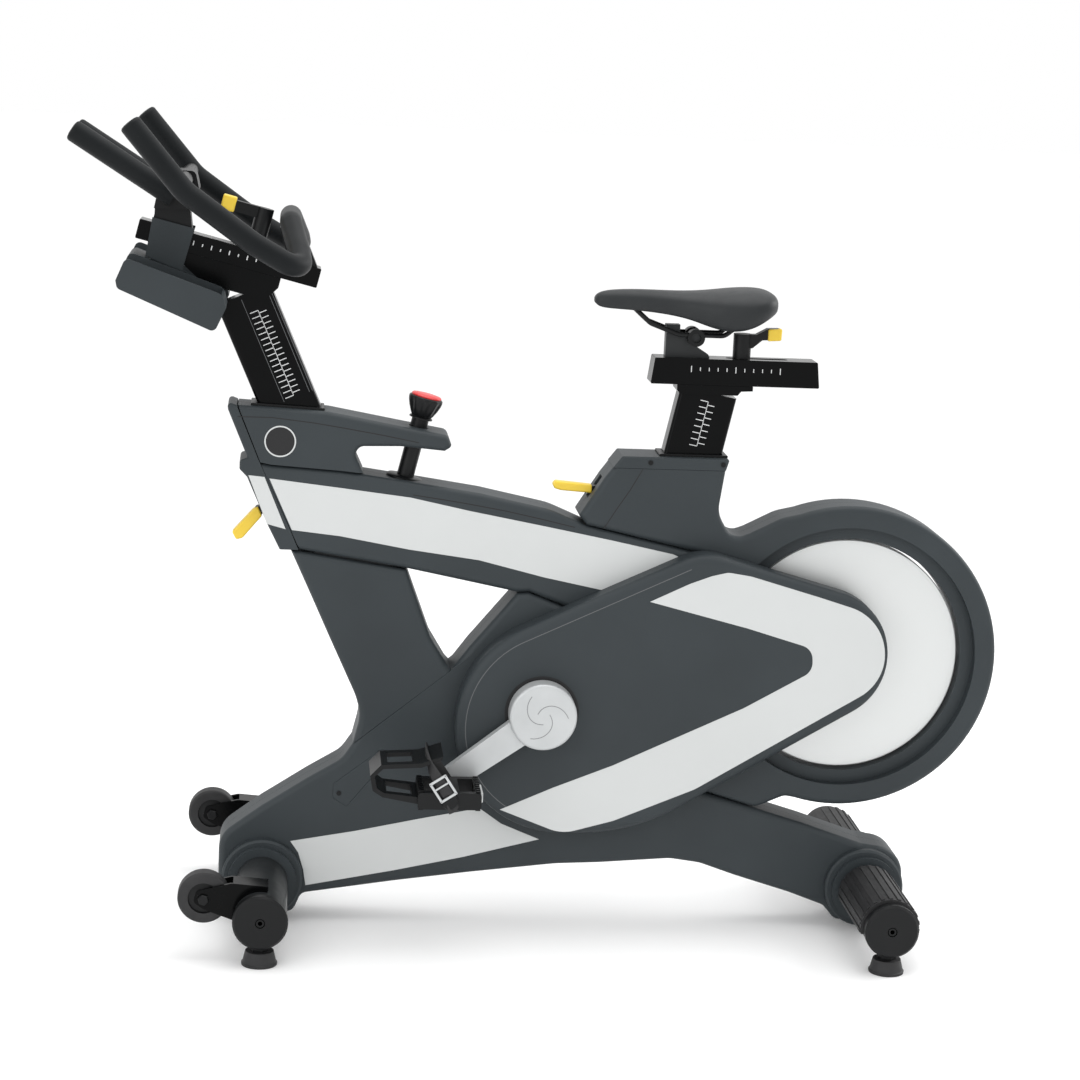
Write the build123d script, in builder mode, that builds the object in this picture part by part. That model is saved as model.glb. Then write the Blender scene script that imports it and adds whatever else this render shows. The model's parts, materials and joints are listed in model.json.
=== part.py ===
"""Indoor cycling bike: covered steel frame, rear flywheel, belt drive, sliding saddle and bar.

Outlines are drawn in the bike's side plane: x is measured from the crank axis towards
the flywheel, z from the floor. +Y is the rider's right. Millimetres throughout.
"""
from build123d import *
import os
from math import cos, hypot, radians, sin

os.makedirs("parts", exist_ok=True)

# ---------------------------------------------------------------- driving dimensions
X0 = 8.3                     # crank axis stands this far behind the bike's mid-length

CRANK = (0.0, 334.0)         # crank axis
CRANK_ARM = 170.0            # crank axis to pedal spindle
CRANK_ANGLE = 216.6          # near arm's direction, from +x towards +z
FLYWHEEL = (450.0, 417.0)    # flywheel axis
FLYWHEEL_R = 172.0
FLYWHEEL_HALF = 14.0         # half the flywheel's thickness

COVER_HALF = 40.0            # half width of the body covers
GUARD_HALF = 80.0            # outer face of the belt guard
PARTING = 0.25               # each cover half stops this far from the middle plane
WALL = 6.0                   # cover face thickness
RIM = 9.0                    # cover edge thickness
ROUND = 9.0                  # rounding along the covers' exposed edges
EDGE = 4.0                   # rounding along the nose and cap edges
FRAME_HALF = 25.0            # half width of the frame tubes
AIR = 1.0                    # clearance between frame and covers
SLIP = 0.3                   # gap between faces of different moving bodies
RUNNING = 0.1                # radial clearance of a shaft in its bore

STABILISER_X = (-398.0, 498.0)
STABILISER_Z = 67.0
STABILISER_R = 37.5
STABILISER_HALF = 256.0
CAP_DEPTH = 14.0
FOOT_Y = 230.0
FOOT_R = 25.0

WHEEL_AXIS = (-478.0, 92.0)  # transport wheel axle
WHEEL_R = 36.5
WHEEL_Y = 210.0
WHEEL_HALF = 13.0

POST_TILT = 24.0             # handlebar post leans this far forward
POST_TOP = (-376.0, 763.0)   # post axis at the top of the head cover
POST_SECTION = (82.0, 42.0)
SEAT_TILT = 11.5             # seat post leans this far back
SEAT_TOP = (210.0, 709.0)    # post axis at the top of the seat tower
SEAT_SECTION = (84.0, 40.0)
SOCKET_WALL = 4.0
BUSH = 3.0                   # post bushing thickness

RAIL_SLOPE = 13.6            # handlebar rail rises forward by this angle
RAIL_REAR = (-336.0, 960.0)  # top rear corner of the rail
RAIL_LENGTH = 264.0
RAIL_HEIGHT = 28.0
RAIL_HALF = 22.0
HB_LEVER_BACK = 98.0         # slide lever's axis, ahead of the rail's rear end
HB_TRAVEL = (-6.0, 24.0)     # handlebar slider travel, forward and back
SEAT_TRAVEL = (-60.0, 15.0)  # saddle slider travel, forward and back

KNOB_LEAN = 13.0
KNOB_FOOT = (-207.0, 661.0)  # knob axis where it leaves the beam cover
KNOB_R = 30.0

CALIPER_PIVOT = (232.0, 421.0)
BEARING_R = 16.0             # flywheel bearing's outer radius

BELT_Y = 60.0
BELT_HALF = 8.0
CRANK_PULLEY_R = 100.0
WHEEL_PULLEY_R = 28.0

PEDAL_IN = 112.0             # pedal body's inner and outer faces
PEDAL_OUT = 202.0
PEDAL_HALF = 45.0            # half the pedal's length along the bike

GRIP_R = 15.5
GRIP_Y = 200.0

# unit vectors in the side plane, as (x, z)
POST_UP = (-sin(radians(POST_TILT)), cos(radians(POST_TILT)))
SEAT_UP = (sin(radians(SEAT_TILT)), cos(radians(SEAT_TILT)))
RAIL_BACK = (cos(radians(RAIL_SLOPE)), -sin(radians(RAIL_SLOPE)))
RAIL_UP = (sin(radians(RAIL_SLOPE)), cos(radians(RAIL_SLOPE)))
KNOB_UP = (sin(radians(KNOB_LEAN)), cos(radians(KNOB_LEAN)))
ARM_OUT = (cos(radians(CRANK_ANGLE)), sin(radians(CRANK_ANGLE)))
PEDAL_NEAR = (CRANK[0] + CRANK_ARM * ARM_OUT[0], CRANK[1] + CRANK_ARM * ARM_OUT[1])
PEDAL_FAR = (CRANK[0] - CRANK_ARM * ARM_OUT[0], CRANK[1] - CRANK_ARM * ARM_OUT[1])


# ---------------------------------------------------------------- helpers
def side(y=0.0):
    """Side plane at depth y, facing the rider's left: local x to the rear, local y up."""
    return Plane(origin=(X0, y, 0), x_dir=(1, 0, 0), z_dir=(0, -1, 0))


def along(start, direction, distance):
    """Point at a distance from start along a side-plane direction."""
    return (start[0] + direction[0] * distance, start[1] + direction[1] * distance)


def tilted(start, up, y=0.0):
    """Plane square to a leaning axis at start: local x leans rearward, local y along Y."""
    return Plane(origin=(X0 + start[0], y, start[1]), x_dir=(up[1], 0, -up[0]),
                 z_dir=(up[0], 0, up[1]))


def plate(points, y_near, y_far, radii=0, mode=Mode.ADD):
    """Plate with a rounded polygon outline between two depths, near one first."""
    with BuildSketch(side(y_far)) as outline:
        with BuildLine():
            FilletPolyline(*points, radius=radii, close=True)
        make_face()
    extrude(outline.sketch, amount=y_far - y_near, mode=mode)


def disc(centre, radius, y_near, y_far, mode=Mode.ADD):
    """Round disc or hole across the bike."""
    with BuildSketch(side(y_far)) as outline:
        with Locations(centre):
            Circle(radius)
    extrude(outline.sketch, amount=y_far - y_near, mode=mode)


def bar(start, end, height, half, mode=Mode.ADD):
    """Rectangular bar between two side-plane points, square ended."""
    length = hypot(end[0] - start[0], end[1] - start[1])
    run = ((end[0] - start[0]) / length, (end[1] - start[1]) / length)
    with BuildSketch(tilted(start, run)) as section:
        Rectangle(height, 2 * half)
    extrude(section.sketch, amount=length, mode=mode)


def leaning_box(start, up, size, height, y=0.0, mode=Mode.ADD, corner=0):
    """Rectangular column standing on a leaning plane."""
    with BuildSketch(tilted(start, up, y)) as section:
        if corner:
            RectangleRounded(size[0], size[1], corner)
        else:
            Rectangle(size[0], size[1])
    extrude(section.sketch, amount=height, mode=mode)


def leaning_rod(start, up, radius, height, y=0.0, mode=Mode.ADD):
    """Round column standing on a leaning plane."""
    with BuildSketch(tilted(start, up, y)) as section:
        Circle(radius)
    extrude(section.sketch, amount=height, mode=mode)


def tube_path(points, radii, radius, mode=Mode.ADD):
    """Round bar swept along straight runs joined by tangent arcs, in space."""
    places = [(X0 + x, y, z) for x, y, z in points]
    with BuildLine() as path:
        if len(places) > 2:
            FilletPolyline(*places, radius=radii)
        else:
            Line(*places)
    with BuildSketch(Plane(origin=path.line @ 0, z_dir=path.line % 0)) as section:
        Circle(radius)
    sweep(section.sketch, path=path.line, mode=mode)


def outer_edges(part, y):
    """Edges lying on the outer face of a near-side cover."""
    return part.edges().filter_by_position(Axis.Y, -y - 0.01, -y + 0.01)


def off_line(spot, start, end):
    """Distance from a side-plane point to a straight run."""
    run = (end[0] - start[0], end[1] - start[1])
    reach = (spot[0] - start[0], spot[1] - start[1])
    share = (reach[0] * run[0] + reach[1] * run[1]) / (run[0] ** 2 + run[1] ** 2)
    share = min(max(share, 0), 1)
    return hypot(reach[0] - share * run[0], reach[1] - share * run[1])


def exposed(part, y, seams):
    """Outer face edges that don't lie along a seam with a neighbouring cover."""
    def clear(edge):
        middle = edge @ 0.5
        spot = (middle.X - X0, middle.Z)
        return all(off_line(spot, start, end) > 2 for seam in seams
                   for start, end in zip(seam, seam[1:]))
    return outer_edges(part, y).filter_by(clear)


def inset_pocket(points, radii, depth, rim=RIM):
    """Hollow a near-side cover from the middle plane, leaving a rim round its outline."""
    with BuildSketch(side(0)) as hollow:
        with BuildLine():
            FilletPolyline(*points, radius=radii, close=True)
        make_face()
        offset(amount=-rim, kind=Kind.INTERSECTION)
    extrude(hollow.sketch, amount=depth, mode=Mode.SUBTRACT)


TUBES = [   # frame tubes in the side plane: start, end, height
    ((-352, 632), (146, 560), 56),                       # beam
    ((-168, 300), (-120, 150), 44),                      # down tube foot
    ((160, 450), (146, 140), 50),                        # seat mast foot
    (CRANK, (20, 150), 44), (CRANK, (160, 440), 40),     # bracket strut and brace
    ((-398, 88), (-190, 118), 44), ((-200, 117), (60, 146), 44),   # leg tubes
    ((50, 147), (262, 147), 44), ((250, 149), (498, 88), 44)]
TUBE_WALL = 3.0
SOCKET_DROP = 34.0           # post sockets end this far below the cover tops
SOCKETS = [(POST_TOP, POST_UP, POST_SECTION, 520), (SEAT_TOP, SEAT_UP, SEAT_SECTION, 300)]


def frame_tubes(grow=0.0, mode=Mode.ADD):
    """The frame's rectangular tubes, or with grow the same tubes a little larger."""
    for start, end, height in TUBES:
        bar(start, end, height + 2 * grow, FRAME_HALF + grow, mode)


def frame_fittings(grow=0.0):
    """The bracket shell, post sockets and dropout plates welded to the tubes."""
    disc(CRANK, 30 + grow, -36, 36)
    for top, up, section, depth in SOCKETS:
        size = [side_length + 2 * (BUSH + SOCKET_WALL + grow) for side_length in section]
        leaning_box(along(top, up, -depth), up, size, depth - SOCKET_DROP)
    for y in (-30.0, 30.0):
        plate([(150, 300), (FLYWHEEL[0], FLYWHEEL[1] - 32 - grow),
               (FLYWHEEL[0] + 32 + grow, FLYWHEEL[1] - 32),
               (FLYWHEEL[0] + 32 + grow, FLYWHEEL[1] + 32),
               (FLYWHEEL[0], FLYWHEEL[1] + 32 + grow), (150, 500)],
              y - 3 - grow, y + 3 + grow)


with BuildPart() as frame_space:
    frame_tubes(AIR)
    frame_fittings(AIR)
    # room for the brake caliper and the post levers inside the covers
    plate([(196, 372), (292, 372), (292, 470), (196, 470)], -24, 24)

# ---------------------------------------------------------------- outlines of the covers
HEAD = [(-449, 764), (-320, 758), (-215, 740), (-148, 729), (-142, 713), (-152, 706),
        (-215, 711), (-286, 709), (-268, 671), (-300, 674), (-400, 680), (-415.5, 683)]
HEAD_R = [0, 0, 60, 10, 5, 5, 60, 12, 0, 0, 0, 0]
NOSE = [(-465, 769), (-451, 764), (-419, 688), (-371, 587), (-358, 557), (-385, 557),
        (-404, 594), (-434, 661), (-445, 672), (-445, 685), (-434, 689), (-463, 757)]
NOSE_R = [5, 0, 0, 0, 0, 0, 0, 0, 5, 5, 0, 6]
BEAM = [(-415.6, 682), (-400, 679), (-298, 673), (-184, 658), (-99, 646), (5, 625),
        (58, 603), (240, 563), (300, 548), (270, 500), (60, 472), (-22, 503), (-39, 502),
        (-200, 533), (-356, 557), (-370, 587)]
BEAM_R = [0, 60, 60, 60, 60, 100, 60, 100, 0, 0, 0, 0, 0, 4, 0, 0]
BEAM_BAND = [(-402, 660), (-298, 649), (-199, 638), (-114, 621), (4, 600), (96, 583),
             (186, 565), (206, 556), (176, 539), (138, 521), (107, 506), (96, 507),
             (-1, 526), (-97, 549), (-199, 562), (-299, 579), (-368, 586)]
NOSE_BAND = [(-409, 662), (-432, 664), (-404, 594), (-377, 587)]
DOWN = [(-369, 556), (-339, 492), (-309, 427), (-269, 342), (-261, 314), (-271, 271), (-217, 315), (-131, 385), (-138, 392), (-163, 432), (-201, 531)]
DOWN_R = [0, 0, 200, 100, 60, 0, 0, 0, 10, 0, 4]
LEG = [(-130, 385.5), (-105, 420), (-39, 501), (-22, 502), (60, 471), (190, 466),
       (190, 240), (245, 208), (332, 182), (403, 161), (494, 131), (558, 122), (558, 14),
       (460, 12), (441, 34), (386, 54), (303, 79), (250, 97), (205, 103), (100, 95),
       (34, 92), (-92, 77), (-204, 62), (-340, 41), (-352, 12), (-462, 12), (-462, 128),
       (-429, 153), (-402, 173), (-335, 217), (-287, 246), (-271, 270), (-217, 314.4)]
LEG_R = [0, 0, 4, 4, 0, 0, 0, 40, 0, 0, 30, 44, 44, 14, 14, 60, 60, 60, 60, 0, 100, 0, 0,
         14, 14, 44, 40, 60, 0, 100, 40, 0, 0]
LEG_BAND = [(-358, 122), (-264, 139), (-162, 161), (-82, 177), (-49, 154), (8, 131),
            (-104, 102), (-205, 80), (-334, 55), (-338, 79), (-346, 105)]
TOWER = [(58, 604), (46, 618), (80, 673), (92, 689.5), (257, 689.5), (249, 627),
         (272, 588), (298, 598), (344, 622), (378, 630), (420, 600), (330, 470),
         (300, 549), (240, 564)]
TOWER_R = [0, 3, 0, 0, 0, 40, 22, 40, 60, 0, 0, 0, 0, 0]
RING_WEB = [(424, 194), (372, 203), (329, 184), (246, 209), (191, 241), (191, 300),
            (300, 300)]
TOWER_CAP = [(92, 690), (105, 707), (262, 707), (257, 690)]
V_BAND = [(150, 502), (207, 530), (238, 542), (262, 548), (296, 543), (400, 514),
          (491, 487), (506, 392), (230, 223), (112, 173), (37, 152), (-55, 187),
          (20, 221), (108, 257), (296, 347), (394, 404), (392, 438), (295, 466)]
V_BAND_R = [0, 60, 0, 20, 30, 0, 76, 70, 100, 60, 60, 0, 0, 60, 60, 22, 22, 0]
HATCH = [(-298, 210), (-228, 265), (-214, 255), (-277, 176), (-298, 189)]


# seams where neighbouring covers meet flush, so their edges stay square
HEAD_SEAMS = [[(-268, 671), (-300, 674), (-400, 680), (-415.5, 683), (-449, 764)]]
NOSE_SEAMS = [[(-451, 764), (-419, 688), (-371, 587), (-358, 557), (-385, 557)]]
BEAM_SEAMS = [[(-415.6, 682), (-370, 587), (-356, 557)], [(300, 548), (270, 500), (60, 472)]]
DOWN_SEAMS = [[(-369, 556), (-201, 531)], [(-271, 271), (-217, 315), (-131, 385)]]
LEG_SEAMS = [[(-271, 270), (-217, 314.4), (-130, 385.5)],
             [(-39, 501), (-22, 502), (60, 471), (190, 466), (190, 240), (245, 208),
              (332, 182)]]
TOWER_SEAMS = [[(58, 604), (240, 564)], [(92, 689.5), (257, 689.5)]]
CAP_SEAMS = [[(92, 690), (257, 690)]]


GUARD = [(225, 577), (506, 500), (506, 371), (140, 151), (-124, 151), (-124, 411.5)]
GUARD_R = [80, 96.5, 96.5, 280, 156, 156]


# ---------------------------------------------------------------- frame
with BuildPart() as main_frame:
    frame_tubes()
    frame_tubes(-TUBE_WALL, Mode.SUBTRACT)
    frame_fittings()
    for top, up, section, depth in SOCKETS:
        bore = [side_length + 2 * BUSH for side_length in section]
        leaning_box(along(top, up, -depth + 12), up, bore, depth, mode=Mode.SUBTRACT)
    disc(CRANK, 21, -40, 40, mode=Mode.SUBTRACT)
    disc(FLYWHEEL, BEARING_R, -40, 40, mode=Mode.SUBTRACT)
    disc(CALIPER_PIVOT, 5, -40, 40, mode=Mode.SUBTRACT)
    leaning_rod(along(KNOB_FOOT, KNOB_UP, -80), KNOB_UP, 13.5, 120, mode=Mode.SUBTRACT)
    for x in STABILISER_X:
        disc((x, STABILISER_Z), STABILISER_R, -60, 60, mode=Mode.SUBTRACT)
    # slot for the brake caliper between the dropout plates
    plate([(205, 380), (286, 380), (286, 462), (205, 462)], -26.5, 26.5, mode=Mode.SUBTRACT)
main_frame.part.label = "main_frame"
export_step(main_frame.part, "parts/main_frame.step")

with BuildPart() as stabiliser_tubes:
    for x in STABILISER_X:
        disc((x, STABILISER_Z), STABILISER_R, -STABILISER_HALF + CAP_DEPTH,
             STABILISER_HALF - CAP_DEPTH)
        disc((x, STABILISER_Z), STABILISER_R - 4, -STABILISER_HALF, STABILISER_HALF,
             mode=Mode.SUBTRACT)
stabiliser_tubes.part.label = "stabiliser_tubes"
export_step(stabiliser_tubes.part, "parts/stabiliser_tubes.step")

with BuildPart() as stabiliser_end_caps:
    for x in STABILISER_X:
        disc((x, STABILISER_Z), STABILISER_R + 1.5, -STABILISER_HALF,
             -STABILISER_HALF + CAP_DEPTH)
        disc((x, STABILISER_Z), 7, -STABILISER_HALF - 1, -STABILISER_HALF + 5,
             mode=Mode.SUBTRACT)
    chamfer(stabiliser_end_caps.edges().filter_by(GeomType.CIRCLE)
            .filter_by(lambda e: e.radius > STABILISER_R)
            .filter_by_position(Axis.Y, -STABILISER_HALF - 0.1, -STABILISER_HALF + 0.1), 3)
    mirror(about=Plane.XZ)
stabiliser_end_caps.part.label = "stabiliser_end_caps"
export_step(stabiliser_end_caps.part, "parts/stabiliser_end_caps.step")

TREAD_IN, TREAD_OUT = 74.0, 238.0
with BuildPart() as rear_stabiliser_treads:
    disc((STABILISER_X[1], STABILISER_Z), STABILISER_R + 5, -TREAD_OUT, -TREAD_IN)
    disc((STABILISER_X[1], STABILISER_Z), STABILISER_R, -TREAD_OUT, -TREAD_IN,
         mode=Mode.SUBTRACT)
    plate([(430, 0), (566, 0), (566, 58), (430, 58)], -TREAD_OUT, -TREAD_IN,
          mode=Mode.SUBTRACT)
    mirror(about=Plane.XZ)
rear_stabiliser_treads.part.label = "rear_stabiliser_treads"
export_step(rear_stabiliser_treads.part, "parts/rear_stabiliser_treads.step")

COLLAR_R = 59.0
with BuildPart() as stabiliser_collars:
    for x in STABILISER_X:
        disc((x, STABILISER_Z), COLLAR_R, -54, -COVER_HALF)
        disc((x, STABILISER_Z), COLLAR_R - 9, -64, -54)
        disc((x, STABILISER_Z), STABILISER_R, -70, -30, mode=Mode.SUBTRACT)
    chamfer(stabiliser_collars.edges().filter_by(GeomType.CIRCLE)
            .filter_by_position(Axis.Y, -54.1, -53.9)
            .filter_by(lambda e: e.radius > COLLAR_R - 1), 3)
    mirror(about=Plane.XZ)
stabiliser_collars.part.label = "stabiliser_collars"
export_step(stabiliser_collars.part, "parts/stabiliser_collars.step")

WHEEL_ROOM = WHEEL_HALF + 1.0
with BuildPart() as wheel_brackets:
    for y in (-WHEEL_Y - WHEEL_ROOM - 4, -WHEEL_Y + WHEEL_ROOM):
        plate([(-488, 104), (-492, 88), (-478, 78), (-430, 60), (-390, 92), (-388, 112),
               (-440, 116)], y, y + 4, radii=[6, 6, 6, 0, 0, 4, 8])
    plate([(-436, 100), (-388, 106), (-388, 112), (-437, 116)],
          -WHEEL_Y - WHEEL_ROOM - 4, -WHEEL_Y + WHEEL_ROOM + 4)
    disc((STABILISER_X[0], STABILISER_Z), STABILISER_R, -250, -150, mode=Mode.SUBTRACT)
    disc(WHEEL_AXIS, 5, -WHEEL_Y - WHEEL_ROOM - 8, -WHEEL_Y + WHEEL_ROOM + 8)
    mirror(about=Plane.XZ)
wheel_brackets.part.label = "wheel_brackets"
export_step(wheel_brackets.part, "parts/wheel_brackets.step")

for name, y in (("transport_wheel_left", -WHEEL_Y), ("transport_wheel_right", WHEEL_Y)):
    with BuildPart() as transport_wheel:
        disc(WHEEL_AXIS, WHEEL_R, y - WHEEL_HALF, y + WHEEL_HALF)
        fillet(transport_wheel.edges().filter_by(GeomType.CIRCLE), 4)
        disc(WHEEL_AXIS, 5.05, y - 20, y + 20, mode=Mode.SUBTRACT)
        disc(WHEEL_AXIS, 22, y - WHEEL_HALF - 1, y - WHEEL_HALF + 4, mode=Mode.SUBTRACT)
        disc(WHEEL_AXIS, 22, y + WHEEL_HALF - 4, y + WHEEL_HALF + 1, mode=Mode.SUBTRACT)
    transport_wheel.part.label = name
    export_step(transport_wheel.part, f"parts/{name}.step")

for name, x, y in (("foot_front_left", STABILISER_X[0], -FOOT_Y),
                   ("foot_front_right", STABILISER_X[0], FOOT_Y),
                   ("foot_rear_left", STABILISER_X[1], -FOOT_Y),
                   ("foot_rear_right", STABILISER_X[1], FOOT_Y)):
    with BuildPart() as foot:
        with BuildSketch(Plane.XY) as pad:
            with Locations((X0 + x, y)):
                Circle(FOOT_R)
        extrude(amount=20, taper=14)
        with BuildSketch(Plane.XY.offset(20)) as stem:
            with Locations((X0 + x, y)):
                Circle(6)
        extrude(amount=9)
    foot.part.label = name
    export_step(foot.part, f"parts/{name}.step")

# ---------------------------------------------------------------- body covers
with BuildPart() as head_covers:
    plate(HEAD, -COVER_HALF, -PARTING, HEAD_R)
    fillet(exposed(head_covers, COVER_HALF, HEAD_SEAMS), ROUND)
    inset_pocket(HEAD, HEAD_R, COVER_HALF - WALL)
    add(frame_space.part, mode=Mode.SUBTRACT)
    leaning_box(along(POST_TOP, POST_UP, -80), POST_UP, (89, 49), 200, mode=Mode.SUBTRACT)
    leaning_rod(along(KNOB_FOOT, KNOB_UP, 20), KNOB_UP, 14.5, 120, mode=Mode.SUBTRACT)
    mirror(about=Plane.XZ)
head_covers.part.label = "head_covers"
export_step(head_covers.part, "parts/head_covers.step")

with BuildPart() as beam_nose_cap:
    plate(NOSE, -COVER_HALF, COVER_HALF, NOSE_R)
    fillet(exposed(beam_nose_cap, COVER_HALF, NOSE_SEAMS), EDGE)
    fillet(exposed(beam_nose_cap, -COVER_HALF, NOSE_SEAMS), EDGE)
    add(frame_space.part, mode=Mode.SUBTRACT)
    plate([(-470, 556), (-360, 556), (-360, 640), (-470, 640)], -13, 13, mode=Mode.SUBTRACT)
    plate(NOSE_BAND, -COVER_HALF - 1, -COVER_HALF + 1.5, mode=Mode.SUBTRACT)
    plate(NOSE_BAND, COVER_HALF - 1.5, COVER_HALF + 1, mode=Mode.SUBTRACT)
beam_nose_cap.part.label = "beam_nose_cap"
export_step(beam_nose_cap.part, "parts/beam_nose_cap.step")

with BuildPart() as beam_covers:
    plate(BEAM, -COVER_HALF, -PARTING, BEAM_R)
    fillet(exposed(beam_covers, COVER_HALF, BEAM_SEAMS), ROUND)
    inset_pocket(BEAM, BEAM_R, COVER_HALF - WALL)
    add(frame_space.part, mode=Mode.SUBTRACT)
    plate(BEAM_BAND, -COVER_HALF - 1, -COVER_HALF + 1.5, mode=Mode.SUBTRACT)
    leaning_rod(along(KNOB_FOOT, KNOB_UP, -60), KNOB_UP, 14.5, 100, mode=Mode.SUBTRACT)
    mirror(about=Plane.XZ)
beam_covers.part.label = "beam_covers"
export_step(beam_covers.part, "parts/beam_covers.step")

with BuildPart() as down_tube_covers:
    plate(DOWN, -COVER_HALF, -PARTING, DOWN_R)
    fillet(exposed(down_tube_covers, COVER_HALF, DOWN_SEAMS), ROUND)
    inset_pocket(DOWN, DOWN_R, COVER_HALF - WALL)
    add(frame_space.part, mode=Mode.SUBTRACT)
    mirror(about=Plane.XZ)
down_tube_covers.part.label = "down_tube_covers"
export_step(down_tube_covers.part, "parts/down_tube_covers.step")

with BuildPart() as leg_covers:
    plate(LEG, -COVER_HALF, -PARTING, LEG_R)
    fillet(exposed(leg_covers, COVER_HALF, LEG_SEAMS), ROUND)
    inset_pocket(LEG, LEG_R, COVER_HALF - WALL)
    add(frame_space.part, mode=Mode.SUBTRACT)
    for x in STABILISER_X:
        disc((x, STABILISER_Z), STABILISER_R + 0.2, -60, 0, mode=Mode.SUBTRACT)
    disc(CRANK, 31, -60, 0, mode=Mode.SUBTRACT)
    plate(LEG_BAND, -COVER_HALF - 1, -COVER_HALF + 1.5, mode=Mode.SUBTRACT)
    plate(HATCH, -COVER_HALF - 1, -COVER_HALF + 1.5, radii=4, mode=Mode.SUBTRACT)
    mirror(about=Plane.XZ)
leg_covers.part.label = "leg_covers"
export_step(leg_covers.part, "parts/leg_covers.step")

with BuildPart() as body_trims:
    for band in (BEAM_BAND, NOSE_BAND, LEG_BAND):
        plate(band, -COVER_HALF - 0.5, -COVER_HALF + 1.5)
    mirror(about=Plane.XZ)
body_trims.part.label = "body_trims"
export_step(body_trims.part, "parts/body_trims.step")

with BuildPart() as service_hatches:
    plate(HATCH, -COVER_HALF, -COVER_HALF + 1.5, radii=4)
    hatch_face = service_hatches.faces().sort_by(Axis.Y)[0]
    chamfer(hatch_face.edges(), 0.6)
    mirror(about=Plane.XZ)
service_hatches.part.label = "service_hatches"
export_step(service_hatches.part, "parts/service_hatches.step")

RING_OUT = 225.5
RING_BAND = 194.0
RING_IN = 175.5
with BuildPart() as rear_covers:
    with BuildSketch(side(-PARTING)) as rear_outline:
        with BuildLine():
            FilletPolyline(*TOWER, radius=TOWER_R, close=True)
        make_face()
        with BuildLine():
            FilletPolyline(*RING_WEB, radius=[0, 20, 30, 0, 0, 0, 0], close=True)
        make_face()
        with Locations(FLYWHEEL):
            Circle(RING_OUT)
    extrude(rear_outline.sketch, amount=COVER_HALF - PARTING)
    fillet(exposed(rear_covers, COVER_HALF, TOWER_SEAMS), ROUND)
    disc(FLYWHEEL, RING_IN, -60, 0, mode=Mode.SUBTRACT)
    disc(FLYWHEEL, RING_BAND, -60, -25, mode=Mode.SUBTRACT)
    with BuildSketch(side(0)) as ring_hollow:
        with Locations(FLYWHEEL):
            Circle(RING_OUT - 5)
            Circle(RING_IN + 4, mode=Mode.SUBTRACT)
    extrude(ring_hollow.sketch, amount=20, mode=Mode.SUBTRACT)
    plate([(100, 600), (235, 600), (240, 681), (110, 681)], -COVER_HALF + WALL, 0,
          mode=Mode.SUBTRACT)
    add(frame_space.part, mode=Mode.SUBTRACT)
    disc(CALIPER_PIVOT, 7, -36, 0, mode=Mode.SUBTRACT)
    leaning_box(along(SEAT_TOP, SEAT_UP, -80), SEAT_UP,
                (SEAT_SECTION[0] + 7, SEAT_SECTION[1] + 7), 120, mode=Mode.SUBTRACT)
    plate([(40, 640), (120, 640), (120, 672), (40, 672)], -12, 0, mode=Mode.SUBTRACT)
    with BuildSketch(side(0)) as leg_side:
        with BuildLine():
            FilletPolyline(*LEG, radius=LEG_R, close=True)
        make_face()
        with BuildLine():
            FilletPolyline(*BEAM, radius=BEAM_R, close=True)
        make_face()
    extrude(leg_side.sketch, amount=COVER_HALF + 5, mode=Mode.SUBTRACT)
    mirror(about=Plane.XZ)
rear_covers.part.label = "rear_covers"
export_step(rear_covers.part, "parts/rear_covers.step")

with BuildPart() as seat_tower_cap:
    plate(TOWER_CAP, -COVER_HALF, COVER_HALF, radii=[0, 3, 3, 0])
    fillet(exposed(seat_tower_cap, COVER_HALF, CAP_SEAMS), EDGE)
    fillet(exposed(seat_tower_cap, -COVER_HALF, CAP_SEAMS), EDGE)
    leaning_box(along(SEAT_TOP, SEAT_UP, -60), SEAT_UP,
                (SEAT_SECTION[0] + 7, SEAT_SECTION[1] + 7), 120, mode=Mode.SUBTRACT)
seat_tower_cap.part.label = "seat_tower_cap"
export_step(seat_tower_cap.part, "parts/seat_tower_cap.step")

# ---------------------------------------------------------------- drive covers
GUARD_BACK = COVER_HALF + 0.6   # clears the bands that stand proud of the body covers
for name, sign in (("belt_guard", 1), ("drive_cover_right", -1)):
    with BuildPart() as drive_cover:
        plate(GUARD, -GUARD_HALF, -GUARD_BACK, GUARD_R)
        fillet(outer_edges(drive_cover, GUARD_HALF), 12)
        inset_pocket(GUARD, GUARD_R, GUARD_HALF - WALL, rim=8)
        plate(V_BAND, -GUARD_HALF - 1, -GUARD_HALF + 1.5, V_BAND_R, mode=Mode.SUBTRACT)
        disc(CRANK, 24, -GUARD_HALF - 1, -60, mode=Mode.SUBTRACT)
        if sign < 0:
            mirror(about=Plane.XZ, mode=Mode.REPLACE)
    drive_cover.part.label = name
    export_step(drive_cover.part, f"parts/{name}.step")

with BuildPart() as drive_trims:
    plate(V_BAND, -GUARD_HALF - 0.5, -GUARD_HALF + 1.5, V_BAND_R)
    mirror(about=Plane.XZ)
drive_trims.part.label = "drive_trims"
export_step(drive_trims.part, "parts/drive_trims.step")

with BuildPart() as cover_screws:
    for spot in ((-289, 196), (146, 699), (252, 699)):
        disc(spot, 3.5, -COVER_HALF - 1.2, -COVER_HALF)
    mirror(about=Plane.XZ)
cover_screws.part.label = "cover_screws"
export_step(cover_screws.part, "parts/cover_screws.step")

# ---------------------------------------------------------------- posts
LIP = 3.5                    # post bushing's lip above the cover
SOCKET_LIP_HALF = 27.0
HEAD_SPAN = (-431.0, -326.0)
TOWER_SPAN = (160.0, 260.0)


def head_face(x):
    """Height of the head cover's top face."""
    return HEAD[0][1] + (HEAD[1][1] - HEAD[0][1]) * (x - HEAD[0][0]) / (HEAD[1][0] - HEAD[0][0])


def tower_face(x):
    """Height of the seat tower's top face."""
    return TOWER_CAP[1][1]


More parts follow.
